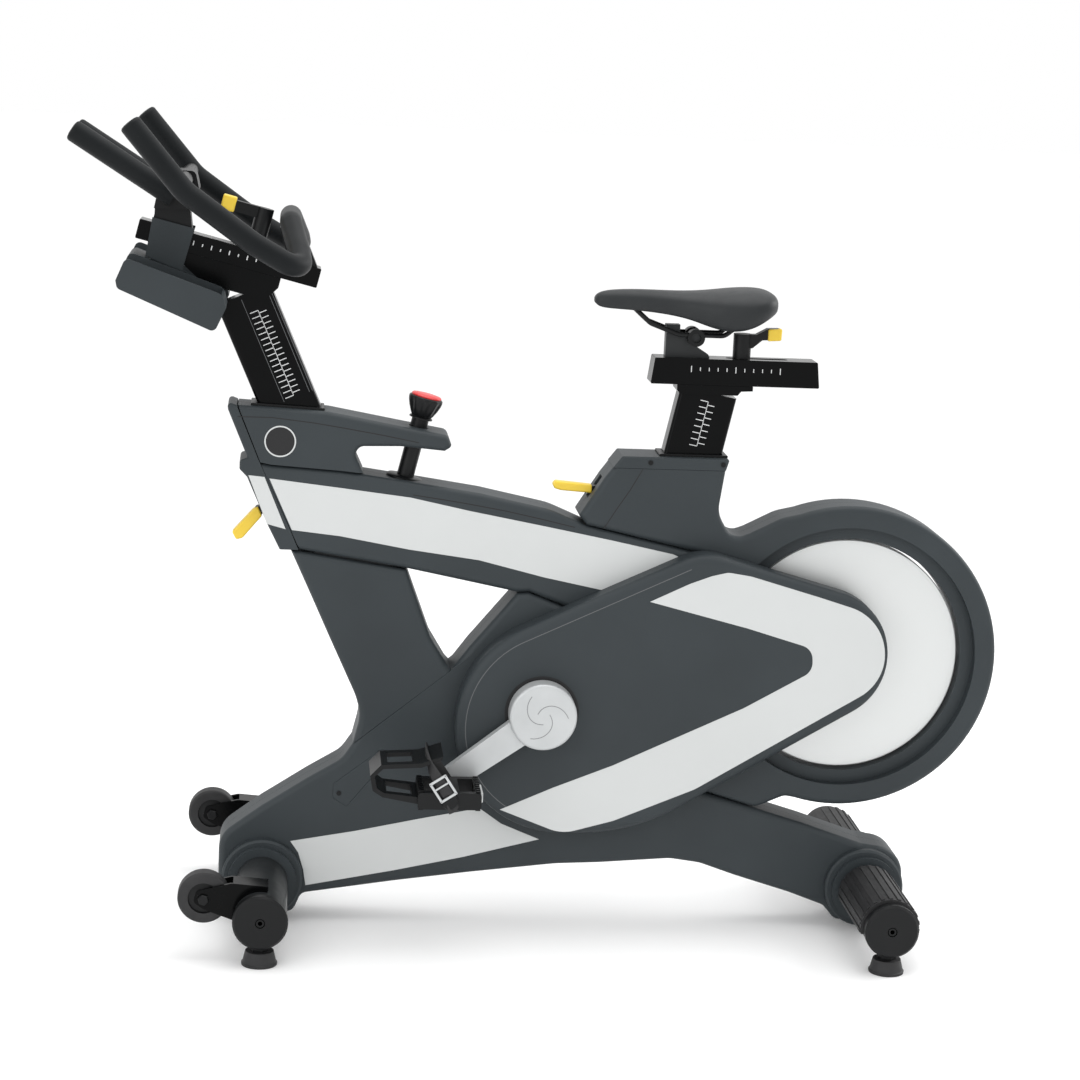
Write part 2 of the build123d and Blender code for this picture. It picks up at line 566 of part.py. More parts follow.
with BuildPart() as post_bushings:
    for top, up, section, depth in SOCKETS:
        outer = [side_length + 2 * BUSH for side_length in section]
        leaning_box(along(top, up, -60), up, outer, 100)
    for face, span in ((head_face, HEAD_SPAN), (tower_face, TOWER_SPAN)):
        near, far = [(x, face(x) + LIP) for x in span]
        # trim the sleeves level with the covers, then add the lip that lies on them
        plate([near, far, (far[0] + 60, far[1] + 120), (near[0] - 60, near[1] + 120)],
              -COVER_HALF, COVER_HALF, mode=Mode.SUBTRACT)
        plate([(near[0], near[1] - LIP + SLIP), (far[0], far[1] - LIP + SLIP), far, near],
              -SOCKET_LIP_HALF, SOCKET_LIP_HALF, radii=[0, 0, 1.5, 1.5])
    for top, up, section, depth in SOCKETS:
        inner = [side_length + 2 * SLIP for side_length in section]
        leaning_box(along(top, up, -70), up, inner, 120, mode=Mode.SUBTRACT)
post_bushings.part.label = "post_bushings"
export_step(post_bushings.part, "parts/post_bushings.step")

POST_RISE = 172.0            # head cover top to the underside of the post head
POST_DEPTH = 330.0
POST_WALL = 3.0
with BuildPart() as handlebar_post:
    leaning_box(along(POST_TOP, POST_UP, -POST_DEPTH), POST_UP, POST_SECTION,
                POST_DEPTH + POST_RISE, corner=6)
    rail_bottom = along(RAIL_REAR, RAIL_UP, -RAIL_HEIGHT - SLIP)
    head_rear = along(rail_bottom, RAIL_BACK, -52)
    head_front = along(rail_bottom, RAIL_BACK, -196)
    plate([head_rear, head_front, along(head_front, RAIL_UP, -14),
           along(along(head_front, RAIL_BACK, 40), RAIL_UP, -36),
           along(along(head_rear, RAIL_BACK, -14), RAIL_UP, -36),
           along(head_rear, RAIL_UP, -14)], -RAIL_HALF, RAIL_HALF)
    leaning_rod(along(along(RAIL_REAR, RAIL_BACK, -HB_LEVER_BACK), RAIL_UP, -60), RAIL_UP, 6, 60)
    leaning_box(along(POST_TOP, POST_UP, -POST_DEPTH - 5), POST_UP,
                [side_length - 2 * POST_WALL for side_length in POST_SECTION],
                POST_DEPTH + POST_RISE - 10, mode=Mode.SUBTRACT)
handlebar_post.part.label = "handlebar_post"
export_step(handlebar_post.part, "parts/handlebar_post.step")

with BuildPart() as handlebar_slide_rail:
    front = along(RAIL_REAR, RAIL_BACK, -RAIL_LENGTH)
    plate([RAIL_REAR, front, along(front, RAIL_UP, -RAIL_HEIGHT),
           along(RAIL_REAR, RAIL_UP, -RAIL_HEIGHT)], -RAIL_HALF, RAIL_HALF, radii=2)
    slot_middle = -HB_LEVER_BACK - sum(HB_TRAVEL) / 2
    slot = along(along(RAIL_REAR, RAIL_BACK, slot_middle), RAIL_UP, -RAIL_HEIGHT - 10)
    leaning_box(slot, RAIL_UP, (HB_TRAVEL[1] - HB_TRAVEL[0] + 16, 14), 80,
                mode=Mode.SUBTRACT)
handlebar_slide_rail.part.label = "handlebar_slide_rail"
export_step(handlebar_slide_rail.part, "parts/handlebar_slide_rail.step")

HB_LEVER = along(along(RAIL_REAR, RAIL_BACK, -HB_LEVER_BACK), RAIL_UP, SLIP)
with BuildPart() as handlebar_slide_lever:
    leaning_rod(HB_LEVER, RAIL_UP, 14, 6)
    leaning_rod(along(HB_LEVER, RAIL_UP, 6), RAIL_UP, 12.5, 54)
    arm_foot = along(HB_LEVER, RAIL_UP, 44)
    plate([along(arm_foot, RAIL_BACK, 4), along(arm_foot, RAIL_BACK, -48),
           along(along(arm_foot, RAIL_BACK, -60), RAIL_UP, 6),
           along(along(arm_foot, RAIL_BACK, -60), RAIL_UP, 16),
           along(along(arm_foot, RAIL_BACK, 4), RAIL_UP, 16)], -8, 8)
    leaning_rod(along(HB_LEVER, RAIL_UP, -5), RAIL_UP, 6.06, 6, mode=Mode.SUBTRACT)
handlebar_slide_lever.part.label = "handlebar_slide_lever"
export_step(handlebar_slide_lever.part, "parts/handlebar_slide_lever.step")

POST_LEVER = (-398.0, 618.0)
with BuildPart() as handlebar_post_lever:
    disc(POST_LEVER, 9, -12, 12)
    plate([(-396, 616), (-420, 613), (-425, 606), (-452, 574), (-447, 566), (-440, 567),
           (-412, 602)], -8, 8, radii=[0, 3, 3, 3, 3, 3, 3])
handlebar_post_lever.part.label = "handlebar_post_lever"
export_step(handlebar_post_lever.part, "parts/handlebar_post_lever.step")

SEAT_RISE = 102.0            # seat tower top to the top of the seat post
SEAT_DEPTH = 210.0
SEAT_RAIL = (144.0, 387.0, 812.0, 850.0)   # front, rear, underside, top
SEAT_LEVER_X = 276.0
with BuildPart() as seat_post:
    leaning_box(along(SEAT_TOP, SEAT_UP, -SEAT_DEPTH), SEAT_UP, SEAT_SECTION,
                SEAT_DEPTH + SEAT_RISE - 8, corner=6)
    plate([(181, 804), (186, 798), (270, 798), (275, 804), (292, 805),
           (292, SEAT_RAIL[2] - SLIP), (181, SEAT_RAIL[2] - SLIP)], -22, 22, radii=0)
    leaning_box(along(SEAT_TOP, SEAT_UP, -SEAT_DEPTH - 5), SEAT_UP,
                [side_length - 2 * POST_WALL for side_length in SEAT_SECTION],
                SEAT_DEPTH + SEAT_RISE - 14, mode=Mode.SUBTRACT)
    with BuildSketch(Plane.XY.offset(SEAT_RAIL[2] - 10)) as stud:
        with Locations((X0 + SEAT_LEVER_X, 0)):
            Circle(6)
    extrude(amount=50)
seat_post.part.label = "seat_post"
export_step(seat_post.part, "parts/seat_post.step")

with BuildPart() as seat_slide_rail:
    plate([(SEAT_RAIL[0] - 2, SEAT_RAIL[2]), (SEAT_RAIL[1] + 2, SEAT_RAIL[2]),
           (SEAT_RAIL[1] - 2, SEAT_RAIL[3]), (SEAT_RAIL[0] + 3, SEAT_RAIL[3])], -22, 22,
          radii=2)
    with BuildSketch(Plane.XY.offset(SEAT_RAIL[2] - 5)) as rail_slot:
        with Locations((X0 + SEAT_LEVER_X - sum(SEAT_TRAVEL) / 2, 0)):
            SlotOverall(SEAT_TRAVEL[1] - SEAT_TRAVEL[0] + 16, 14)
    extrude(amount=60, mode=Mode.SUBTRACT)
seat_slide_rail.part.label = "seat_slide_rail"
export_step(seat_slide_rail.part, "parts/seat_slide_rail.step")

SEAT_LEVER_Z = SEAT_RAIL[3] + SLIP
with BuildPart() as seat_slide_lever:
    with BuildSketch(Plane.XY.offset(SEAT_LEVER_Z)) as lever_hub:
        with Locations((X0 + SEAT_LEVER_X, 0)):
            Circle(13)
    extrude(amount=36)
    plate([(SEAT_LEVER_X - 6, 866), (SEAT_LEVER_X + 14, 866), (304, 878), (330, 880),
           (330, 895.5), (312, 895), (296, 886), (SEAT_LEVER_X - 6, 885)],
          -8, 8, radii=[0, 0, 0, 2, 2, 0, 0, 0])
    with BuildSketch(Plane.XY.offset(SEAT_LEVER_Z - 1)) as stud_hole:
        with Locations((X0 + SEAT_LEVER_X, 0)):
            Circle(6.06)
    extrude(amount=4, mode=Mode.SUBTRACT)
seat_slide_lever.part.label = "seat_slide_lever"
export_step(seat_slide_lever.part, "parts/seat_slide_lever.step")

SEAT_POST_LEVER = (96.0, 652.0)
with BuildPart() as seat_post_lever:
    disc(SEAT_POST_LEVER, 8, -11, 11)
    plate([(96, 658), (64, 657), (12, 661), (10, 654), (20, 651), (64, 648), (96, 647)],
          -7, 7, radii=[0, 0, 3, 3, 0, 0, 0])
seat_post_lever.part.label = "seat_post_lever"
export_step(seat_post_lever.part, "parts/seat_post_lever.step")

# ---------------------------------------------------------------- saddle
CLAMP = (205.0, 880.0)
with BuildPart() as saddle_pillar:
    plate([(163, SEAT_RAIL[3]), (228, SEAT_RAIL[3]), (226, 855), (208, 866), (208, 884),
           (196, 884), (183, 884), (183, 897), (163, 897)], -9, 9, radii=0)
    disc(CLAMP, 7, -20, 20)
saddle_pillar.part.label = "saddle_pillar"
export_step(saddle_pillar.part, "parts/saddle_pillar.step")

with BuildPart() as saddle_rails:
    for y in (-21.0, 21.0):
        tube_path([(112, y * 0.5, 922), (138, y, 899), (180, y, 884), (246, y, 884),
                   (284, y * 1.3, 916)], 14, 3.5)
    disc(CLAMP, 12.5, -26, 26)
    disc(CLAMP, 7.06, -30, 30, mode=Mode.SUBTRACT)
    plate([(150, 850), (240, 850), (240, 900), (150, 900)], -9.5, 9.5, mode=Mode.SUBTRACT)
saddle_rails.part.label = "saddle_rails"
export_step(saddle_rails.part, "parts/saddle_rails.step")

SADDLE_STATIONS = [  # x, half width, top z, bottom z
    (58, 14, 938, 920), (90, 23, 946, 917), (150, 30, 947, 915), (200, 45, 948, 908),
    (250, 75, 953, 898), (296, 78, 956, 902), (321, 50, 948, 920)]
with BuildPart() as saddle:
    for x, half, top, bottom in SADDLE_STATIONS:
        with BuildSketch(Plane(origin=(X0 + x, 0, 0), x_dir=(0, 1, 0), z_dir=(1, 0, 0))):
            with Locations((0, (top + bottom) / 2)):
                Ellipse(half, (top - bottom) / 2)
    loft(ruled=True)
    for y in (-21.0, 21.0):
        tube_path([(106, y * 0.5, 927.3), (112, y * 0.5, 922), (138, y, 899)], 14, 3.6,
                  mode=Mode.SUBTRACT)
        tube_path([(246, y, 884), (284, y * 1.3, 916), (290, y * 1.35, 921)], 14, 3.6,
                  mode=Mode.SUBTRACT)
saddle.part.label = "saddle"
export_step(saddle.part, "parts/saddle.step")

# ---------------------------------------------------------------- handlebar
GRIP_PATH = [(-597, -GRIP_Y + 2, 1159), (-524, -GRIP_Y, 1073), (-430, -GRIP_Y - 3, 1007),
             (-364, -GRIP_Y, 970), (-368, -150, 992), (-381, -66, 1028), (-381, 0, 1028)]
with BuildPart() as handlebar:
    tube_path(GRIP_PATH, [70, 120, 26, 30, 40], GRIP_R)
    mirror(about=Plane.XZ)
handlebar.part.label = "handlebar"
export_step(handlebar.part, "parts/handlebar.step")

AERO_Y = 36.0
with BuildPart() as aero_bars:
    tube_path([(-684, -AERO_Y, 1141), (-545, -AERO_Y, 1055)], 0, GRIP_R)
    mirror(about=Plane.XZ)
aero_bars.part.label = "aero_bars"
export_step(aero_bars.part, "parts/aero_bars.step")

RAIL_FRONT_TOP = along(RAIL_REAR, RAIL_BACK, -RAIL_LENGTH)
with BuildPart() as handlebar_stem:
    plate([along(RAIL_FRONT_TOP, RAIL_BACK, 20), along(RAIL_FRONT_TOP, RAIL_BACK, 76),
           (-523, 1040), (-572, 1040)], -20, 20, radii=0)
    plate([(-523, 1038), (-510, 1066), (-516, 1092), (-544, 1092), (-568, 1064),
           (-573, 1038)], -31, 31, radii=[0, 6, 8, 8, 6, 0])
    plate([along(RAIL_REAR, RAIL_BACK, -6), along(RAIL_REAR, RAIL_BACK, -50),
           (-396, 1016), (-381, 1028), (-362, 1010)], -16, 16, radii=0)
    with BuildSketch(side(GRIP_Y - 2)) as crossbar:
        with Locations((-530, 1080)):
            Circle(11)
    extrude(crossbar.sketch, amount=2 * GRIP_Y - 4)
    add(handlebar.part, mode=Mode.SUBTRACT)
    add(aero_bars.part, mode=Mode.SUBTRACT)
handlebar_stem.part.label = "handlebar_stem"
export_step(handlebar_stem.part, "parts/handlebar_stem.step")

HOLDER = [(-618, 946), (-605, 977), (-472, 931), (-467, 912), (-482, 879), (-616, 935)]
HOLDER_R = [3, 8, 14, 0, 8, 8]
with BuildPart() as bottle_holder:
    plate(HOLDER, -145, -46, HOLDER_R)
    plate([(-611, 944), (-607, 1000), (-476, 950), (-472, 915), (-486, 886), (-611, 938)],
          -141, -50, mode=Mode.SUBTRACT)
    plate([(-618, 946), (-605, 977), (-580, 968), (-580, 920.6), (-616, 935)], -46, 0,
          radii=[3, 8, 0, 0, 8])
    mirror(about=Plane.XZ)
bottle_holder.part.label = "bottle_holder"
export_step(bottle_holder.part, "parts/bottle_holder.step")

with BuildPart() as holder_bands:
    plate([(-575, 1025), (-516, 1011), (-532, 952), (-560, 961.5), (-584, 970)],
          -RAIL_HALF - 4.5, -RAIL_HALF - 0.5)
    mirror(about=Plane.XZ)
holder_bands.part.label = "holder_bands"
export_step(holder_bands.part, "parts/holder_bands.step")

# ---------------------------------------------------------------- crankset and pedals
with BuildPart() as crank_axle:
    disc(CRANK, 12, -104, 104)
crank_axle.part.label = "crank_axle"
export_step(crank_axle.part, "parts/crank_axle.step")

for name, sign in (("crank_arm_left", 1), ("crank_arm_right", -1)):
    tip = along(CRANK, ARM_OUT, sign * CRANK_ARM)
    across = (-ARM_OUT[1], ARM_OUT[0])
    with BuildPart() as crank_arm:
        plate([along(CRANK, across, 22), along(CRANK, across, -22),
               along(tip, across, -16.5), along(tip, across, 16.5)], -102, -86)
        disc(CRANK, 28, -104, -84)
        disc(tip, 16.5, -102, -86)
        disc(CRANK, 12, -110, -80, mode=Mode.SUBTRACT)
        disc(tip, 7 + RUNNING, -110, -80, mode=Mode.SUBTRACT)
        if sign < 0:
            mirror(about=Plane.XZ, mode=Mode.REPLACE)
    crank_arm.part.label = name
    export_step(crank_arm.part, f"parts/{name}.step")

with BuildPart() as crank_hub_covers:
    disc(CRANK, 49, -112, -82)
    disc(CRANK, 49, 82, 112)
    fillet(outer_edges(crank_hub_covers, 112), 5)
    fillet(outer_edges(crank_hub_covers, -112), 5)
    for sign, y_near in ((1, -104), (-1, 80)):
        reach = along(CRANK, ARM_OUT, sign * 60)
        across = (-ARM_OUT[1] * 22, ARM_OUT[0] * 22)
        disc(CRANK, 28, y_near, y_near + 24, mode=Mode.SUBTRACT)
        plate([along(CRANK, across, 1), along(CRANK, across, -1), along(reach, across, -1),
               along(reach, across, 1)], sign * -94 - 8, sign * -94 + 8, mode=Mode.SUBTRACT)
crank_hub_covers.part.label = "crank_hub_covers"
export_step(crank_hub_covers.part, "parts/crank_hub_covers.step")

with BuildPart() as crank_pulley:
    disc(CRANK, CRANK_PULLEY_R, -BELT_Y - BELT_HALF - 2, -BELT_Y + BELT_HALF + 2)
    for angle in range(0, 360, 72):
        spoke = (cos(radians(angle)), sin(radians(angle)))
        disc(along(CRANK, spoke, 62), 24, -90, -40, mode=Mode.SUBTRACT)
    disc(CRANK, 12, -90, -40, mode=Mode.SUBTRACT)
crank_pulley.part.label = "crank_pulley"
export_step(crank_pulley.part, "parts/crank_pulley.step")

for name, spindle, sign in (("left", PEDAL_NEAR, 1), ("right", PEDAL_FAR, -1)):
    with BuildPart() as pedal:
        plate([(spindle[0] - PEDAL_HALF, spindle[1] - 12),
               (spindle[0] + PEDAL_HALF, spindle[1] - 12),
               (spindle[0] + PEDAL_HALF, spindle[1] + 12),
               (spindle[0] - PEDAL_HALF, spindle[1] + 12)], -PEDAL_OUT, -PEDAL_IN, radii=5)
        for x in (-1, 1):
            plate([(spindle[0] + x * 14, spindle[1] - 20),
                   (spindle[0] + x * 36, spindle[1] - 20),
                   (spindle[0] + x * 36, spindle[1] + 20),
                   (spindle[0] + x * 14, spindle[1] + 20)],
                  -PEDAL_OUT + 12, -PEDAL_IN - 12, mode=Mode.SUBTRACT)
        disc(spindle, 7, -PEDAL_IN, -86)
        if sign < 0:
            mirror(about=Plane.XZ, mode=Mode.REPLACE)
    pedal.part.label = f"pedal_{name}"
    export_step(pedal.part, f"parts/pedal_{name}.step")

    toe_x, toe_z = spindle[0] - PEDAL_HALF, spindle[1]
    with BuildPart() as toe_cage:
        plate([(toe_x, toe_z - 6), (toe_x, toe_z + 4), (toe_x - 48, toe_z + 9),
               (toe_x - 58, toe_z + 16), (toe_x - 62, toe_z + 32), (toe_x - 50, toe_z + 44),
               (toe_x + 4, toe_z + 47), (toe_x + 32, toe_z + 58), (toe_x + 34, toe_z + 64),
               (toe_x + 2, toe_z + 53), (toe_x - 53, toe_z + 50), (toe_x - 68, toe_z + 34),
               (toe_x - 64, toe_z + 12), (toe_x - 50, toe_z + 3)],
              -PEDAL_OUT + 6, -PEDAL_IN - 6)
        # open between the two side arms, above and below
        for low, high in ((-20, 20), (38, 80)):
            plate([(toe_x - 44, toe_z + low), (toe_x - 8, toe_z + low),
                   (toe_x - 8, toe_z + high), (toe_x - 44, toe_z + high)],
                  -PEDAL_OUT + 20, -PEDAL_IN - 20, mode=Mode.SUBTRACT)
        if sign < 0:
            mirror(about=Plane.XZ, mode=Mode.REPLACE)
    toe_cage.part.label = f"toe_cage_{name}"
    export_step(toe_cage.part, f"parts/toe_cage_{name}.step")

# ---------------------------------------------------------------- flywheel and drive
AXLE_R = 7.5
with BuildPart() as flywheel:
    disc(FLYWHEEL, FLYWHEEL_R, -FLYWHEEL_HALF, FLYWHEEL_HALF)
    chamfer(flywheel.edges().filter_by(GeomType.CIRCLE), 1.5)
    disc(FLYWHEEL, 26, -22, 22)
    disc(FLYWHEEL, AXLE_R, -30, 30, mode=Mode.SUBTRACT)
flywheel.part.label = "flywheel"
export_step(flywheel.part, "parts/flywheel.step")

with BuildPart() as flywheel_pulley:
    disc(FLYWHEEL, WHEEL_PULLEY_R, -BELT_Y - BELT_HALF - 2, -BELT_Y + BELT_HALF + 2)
    disc(FLYWHEEL, 13, -BELT_Y + BELT_HALF + 2, -36)
    disc(FLYWHEEL, AXLE_R, -90, 0, mode=Mode.SUBTRACT)
flywheel_pulley.part.label = "flywheel_pulley"
export_step(flywheel_pulley.part, "parts/flywheel_pulley.step")

with BuildPart() as flywheel_axle:
    disc(FLYWHEEL, AXLE_R, -72, 38)
flywheel_axle.part.label = "flywheel_axle"
export_step(flywheel_axle.part, "parts/flywheel_axle.step")

with BuildPart() as axle_bearings:
    for y in (-33.0, 27.0):
        disc(FLYWHEEL, BEARING_R, y, y + 6)
    disc(FLYWHEEL, AXLE_R + RUNNING, -40, 40, mode=Mode.SUBTRACT)
    for y in (-36.0, 24.0):
        disc(CRANK, 21, y, y + 12)
    disc(CRANK, 12 + RUNNING, -60, 60, mode=Mode.SUBTRACT)
axle_bearings.part.label = "axle_bearings"
export_step(axle_bearings.part, "parts/axle_bearings.step")

BELT_GAP = 0.3
BELT_THICK = 3.5
with BuildPart() as drive_belt:
    for extra, mode in ((BELT_GAP + BELT_THICK, Mode.ADD), (BELT_GAP, Mode.SUBTRACT)):
        with BuildSketch(side(-BELT_Y + BELT_HALF)) as loop:
            with Locations(CRANK):
                Circle(CRANK_PULLEY_R + extra)
            with Locations(FLYWHEEL):
                Circle(WHEEL_PULLEY_R + extra)
            make_hull()
        extrude(loop.sketch, amount=2 * BELT_HALF, mode=mode)
drive_belt.part.label = "drive_belt"
export_step(drive_belt.part, "parts/drive_belt.step")

# ---------------------------------------------------------------- resistance
KNOB_TOP = along(KNOB_FOOT, KNOB_UP, 90)
with BuildPart() as knob_shaft:
    leaning_rod(along(KNOB_FOOT, KNOB_UP, -40), KNOB_UP, 12.5, 130)
    leaning_rod(KNOB_TOP, KNOB_UP, 6, 24)
knob_shaft.part.label = "knob_shaft"
export_step(knob_shaft.part, "parts/knob_shaft.step")

with BuildPart() as resistance_knob:
    leaning_rod(along(KNOB_TOP, KNOB_UP, SLIP), KNOB_UP, KNOB_R, 27)
    leaning_rod(along(KNOB_TOP, KNOB_UP, 27 + SLIP), KNOB_UP, 23, 4)
    for angle in range(0, 360, 30):
        with BuildSketch(tilted(KNOB_TOP, KNOB_UP)) as flute:
            with Locations((33 * cos(radians(angle)), 33 * sin(radians(angle)))):
                Circle(5)
        extrude(flute.sketch, amount=40, mode=Mode.SUBTRACT)
    leaning_rod(KNOB_TOP, KNOB_UP, 6.06, 24.4, mode=Mode.SUBTRACT)
resistance_knob.part.label = "resistance_knob"
export_step(resistance_knob.part, "parts/resistance_knob.step")

with BuildPart() as brake_caliper:
    for y in (-20.0, 16.0):
        plate([(218, 408), (280, 400), (316, 402), (316, 446), (280, 450), (218, 434)],
              y, y + 4, radii=4)
    plate([(214, 404), (252, 404), (252, 438), (214, 438)], -20, 20)
    disc(CALIPER_PIVOT, 5.06, -30, 30, mode=Mode.SUBTRACT)
brake_caliper.part.label = "brake_caliper"
export_step(brake_caliper.part, "parts/brake_caliper.step")

with BuildPart() as caliper_pin:
    disc(CALIPER_PIVOT, 5, -33, 33)
caliper_pin.part.label = "caliper_pin"
export_step(caliper_pin.part, "parts/caliper_pin.step")
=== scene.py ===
import json
from math import cos, pi, radians, sin

import bmesh
import bpy
from mathutils import Matrix, Vector


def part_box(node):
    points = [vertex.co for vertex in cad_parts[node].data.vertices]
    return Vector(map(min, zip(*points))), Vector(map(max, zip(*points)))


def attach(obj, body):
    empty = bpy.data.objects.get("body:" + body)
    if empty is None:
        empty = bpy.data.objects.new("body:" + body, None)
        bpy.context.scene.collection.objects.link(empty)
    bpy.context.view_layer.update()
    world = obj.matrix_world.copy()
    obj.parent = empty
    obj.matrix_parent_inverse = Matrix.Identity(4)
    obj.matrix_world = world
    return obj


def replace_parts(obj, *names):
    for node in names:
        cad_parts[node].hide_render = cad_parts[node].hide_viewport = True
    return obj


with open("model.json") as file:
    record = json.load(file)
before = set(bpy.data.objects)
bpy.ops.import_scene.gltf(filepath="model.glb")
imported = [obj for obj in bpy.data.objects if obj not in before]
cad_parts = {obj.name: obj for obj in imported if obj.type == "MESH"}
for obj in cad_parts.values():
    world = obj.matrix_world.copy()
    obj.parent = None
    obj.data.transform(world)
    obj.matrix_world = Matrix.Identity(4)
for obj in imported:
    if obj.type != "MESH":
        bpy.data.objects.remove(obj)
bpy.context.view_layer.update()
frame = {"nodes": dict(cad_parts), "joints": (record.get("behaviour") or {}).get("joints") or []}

MM = 0.001
NODES = frame["nodes"]
JOINTS = {joint["name"]: joint for joint in frame["joints"]}


# ------------------------------------------------------------------ places
CRANK_X = JOINTS["crank_spin"]["pos_m"][0]


def place(x, y, z):
    """A point in millimetres, x from the crank axis and z from the floor, in the frame."""
    return Vector((CRANK_X + x * MM, y * MM, z * MM))


def direction(joint):
    """Unit vector of a joint's axis."""
    return Vector(JOINTS[joint]["axis"]).normalized()


def pivot(joint):
    """A joint's anchor point."""
    return Vector(JOINTS[joint]["pos_m"])


POST_UP = direction("handlebar_height")
SEAT_UP = direction("seat_height")
RAIL_BACK = direction("handlebar_reach")
RAIL_UP = direction("handlebar_slide_lever_turn")
KNOB_UP = direction("knob_turn")
ACROSS = Vector((0, 1, 0))
REAR = Vector((1, 0, 0))
UP = Vector((0, 0, 1))


# ------------------------------------------------------------------ materials
class Look:
    """A procedural material: a Principled shader with its nodes laid on as they are asked for."""

    def __init__(self, name, colour, roughness, metallic=0.0):
        self.material = bpy.data.materials.new(name)
        self.material.use_nodes = True
        self.tree = self.material.node_tree
        self.shader = self.tree.nodes["Principled BSDF"]
        self.shader.inputs["Base Color"].default_value = (*colour, 1)
        self.shader.inputs["Roughness"].default_value = roughness
        self.shader.inputs["Metallic"].default_value = metallic
        self.height = None

    def node(self, kind, **values):
        """A new shader node; a value sets the socket of that name, or else the attribute."""
        made = self.tree.nodes.new(kind)
        for key, value in values.items():
            if key in made.inputs:
                made.inputs[key].default_value = value
            else:
                setattr(made, key, value)
        return made

    def link(self, source, output, target, socket):
        self.tree.links.new(source.outputs[output], target.inputs[socket])

    def where(self):
        """Texture coordinates."""
        return self.node("ShaderNodeTexCoord")

    def noise(self, scale, detail=4.0, roughness=0.5, stretch=None):
        """Noise over the object's own space, stretched per axis if asked."""
        made = self.node("ShaderNodeTexNoise", Scale=scale, Detail=detail, Roughness=roughness)
        coords = self.where()
        if stretch:
            mapping = self.node("ShaderNodeMapping", Scale=stretch)
            self.link(coords, "Object", mapping, "Vector")
            self.link(mapping, "Vector", made, "Vector")
        else:
            self.link(coords, "Object", made, "Vector")
        return made

    def mottle(self, source, low, high, output="Fac"):
        """Colour that wanders between two tones with a texture."""
        ramp = self.node("ShaderNodeValToRGB")
        ramp.color_ramp.elements[0].position = 0.3
        ramp.color_ramp.elements[0].color = (*low, 1)
        ramp.color_ramp.elements[1].position = 0.7
        ramp.color_ramp.elements[1].color = (*high, 1)
        self.link(source, output, ramp, "Fac")
        self.link(ramp, "Color", self.shader, "Base Color")
        return ramp

    def sheen_range(self, source, low, high, output="Fac"):
        """Roughness that wanders between two values with a texture."""
        spread = self.node("ShaderNodeMapRange")
        spread.inputs["To Min"].default_value = low
        spread.inputs["To Max"].default_value = high
        self.link(source, output, spread, "Value")
        self.link(spread, "Result", self.shader, "Roughness")

    def relief(self, source, strength, distance, output="Fac"):
        """Bump from a texture, laid over any earlier bump."""
        bump = self.node("ShaderNodeBump", Strength=strength, Distance=distance)
        self.link(source, output, bump, "Height")
        if self.height:
            self.link(self.height, "Normal", bump, "Normal")
        self.link(bump, "Normal", self.shader, "Normal")
        self.height = bump


def moulded(name, colour, roughness, grain=900.0, depth=0.00018, spread=0.08, wander=0.12):
    """Moulded plastic with a fine spark texture, and a tone that wanders slightly."""
    look = Look(name, colour, roughness)
    fine = look.noise(grain, 2.0, 0.6)
    broad = look.noise(5.0, 3.0, 0.5)
    low = tuple(c * (1 - wander) for c in colour)
    high = tuple(c * (1 + wander) for c in colour)
    look.mottle(broad, low, high)
    look.sheen_range(fine, roughness - spread, roughness + spread)
    look.relief(fine, 0.35, depth)
    return look


def cover_plastic():
    """Dark grey moulded covers."""
    look = moulded("cover_plastic", (0.031, 0.038, 0.042), 0.50, 1100.0, 0.00022)
    look.shader.inputs["Specular IOR Level"].default_value = 0.26
    return look.material


def silver_plastic():
    """Pale silver trim bands."""
    look = moulded("silver_trim", (0.565, 0.58, 0.577), 0.42, 1500.0, 0.00006, 0.05, 0.02)
    return look.material


def gloss_paint():
    """Black gloss paint on steel, with faint orange peel."""
    look = Look("gloss_paint", (0.003, 0.0032, 0.0034), 0.22)
    peel = look.noise(160.0, 2.0)
    look.mottle(look.noise(8.0), (0.0018, 0.0020, 0.0021), (0.0030, 0.0032, 0.0034))
    look.sheen_range(look.noise(30.0), 0.12, 0.24)
    look.relief(peel, 0.08, 0.0003)
    look.shader.inputs["Specular IOR Level"].default_value = 0.09
    return look.material


def satin_black():
    """Black moulded fittings."""
    look = moulded("satin_black", (0.005, 0.0055, 0.006), 0.38, 800.0, 0.00014, 0.07)
    look.shader.inputs["Specular IOR Level"].default_value = 0.22
    return look.material


def dull_paint():
    """Dark satin paint of the frame and tubes."""
    look = Look("frame_paint", (0.016, 0.018, 0.019), 0.4)
    look.shader.inputs["Specular IOR Level"].default_value = 0.3
    look.mottle(look.noise(12.0), (0.013, 0.015, 0.016), (0.020, 0.022, 0.023))
    look.sheen_range(look.noise(60.0), 0.34, 0.48)
    look.relief(look.noise(240.0, 2.0), 0.12, 0.0003)
    return look.material


def foam_grip():
    """Soft dipped foam: matt, very finely pitted."""
    look = Look("grip_foam", (0.007, 0.0085, 0.0095), 0.5)
    look.shader.inputs["Specular IOR Level"].default_value = 0.13
    look.mottle(look.noise(14.0), (0.0060, 0.0073, 0.0082), (0.0085, 0.0100, 0.0110))
    pits = look.noise(1300.0, 3.0, 0.7)
    look.sheen_range(look.noise(40.0), 0.42, 0.56)
    look.relief(pits, 0.3, 0.0003)
    look.shader.inputs["Sheen Weight"].default_value = 0.02
    look.shader.inputs["Sheen Roughness"].default_value = 0.5
    return look.material


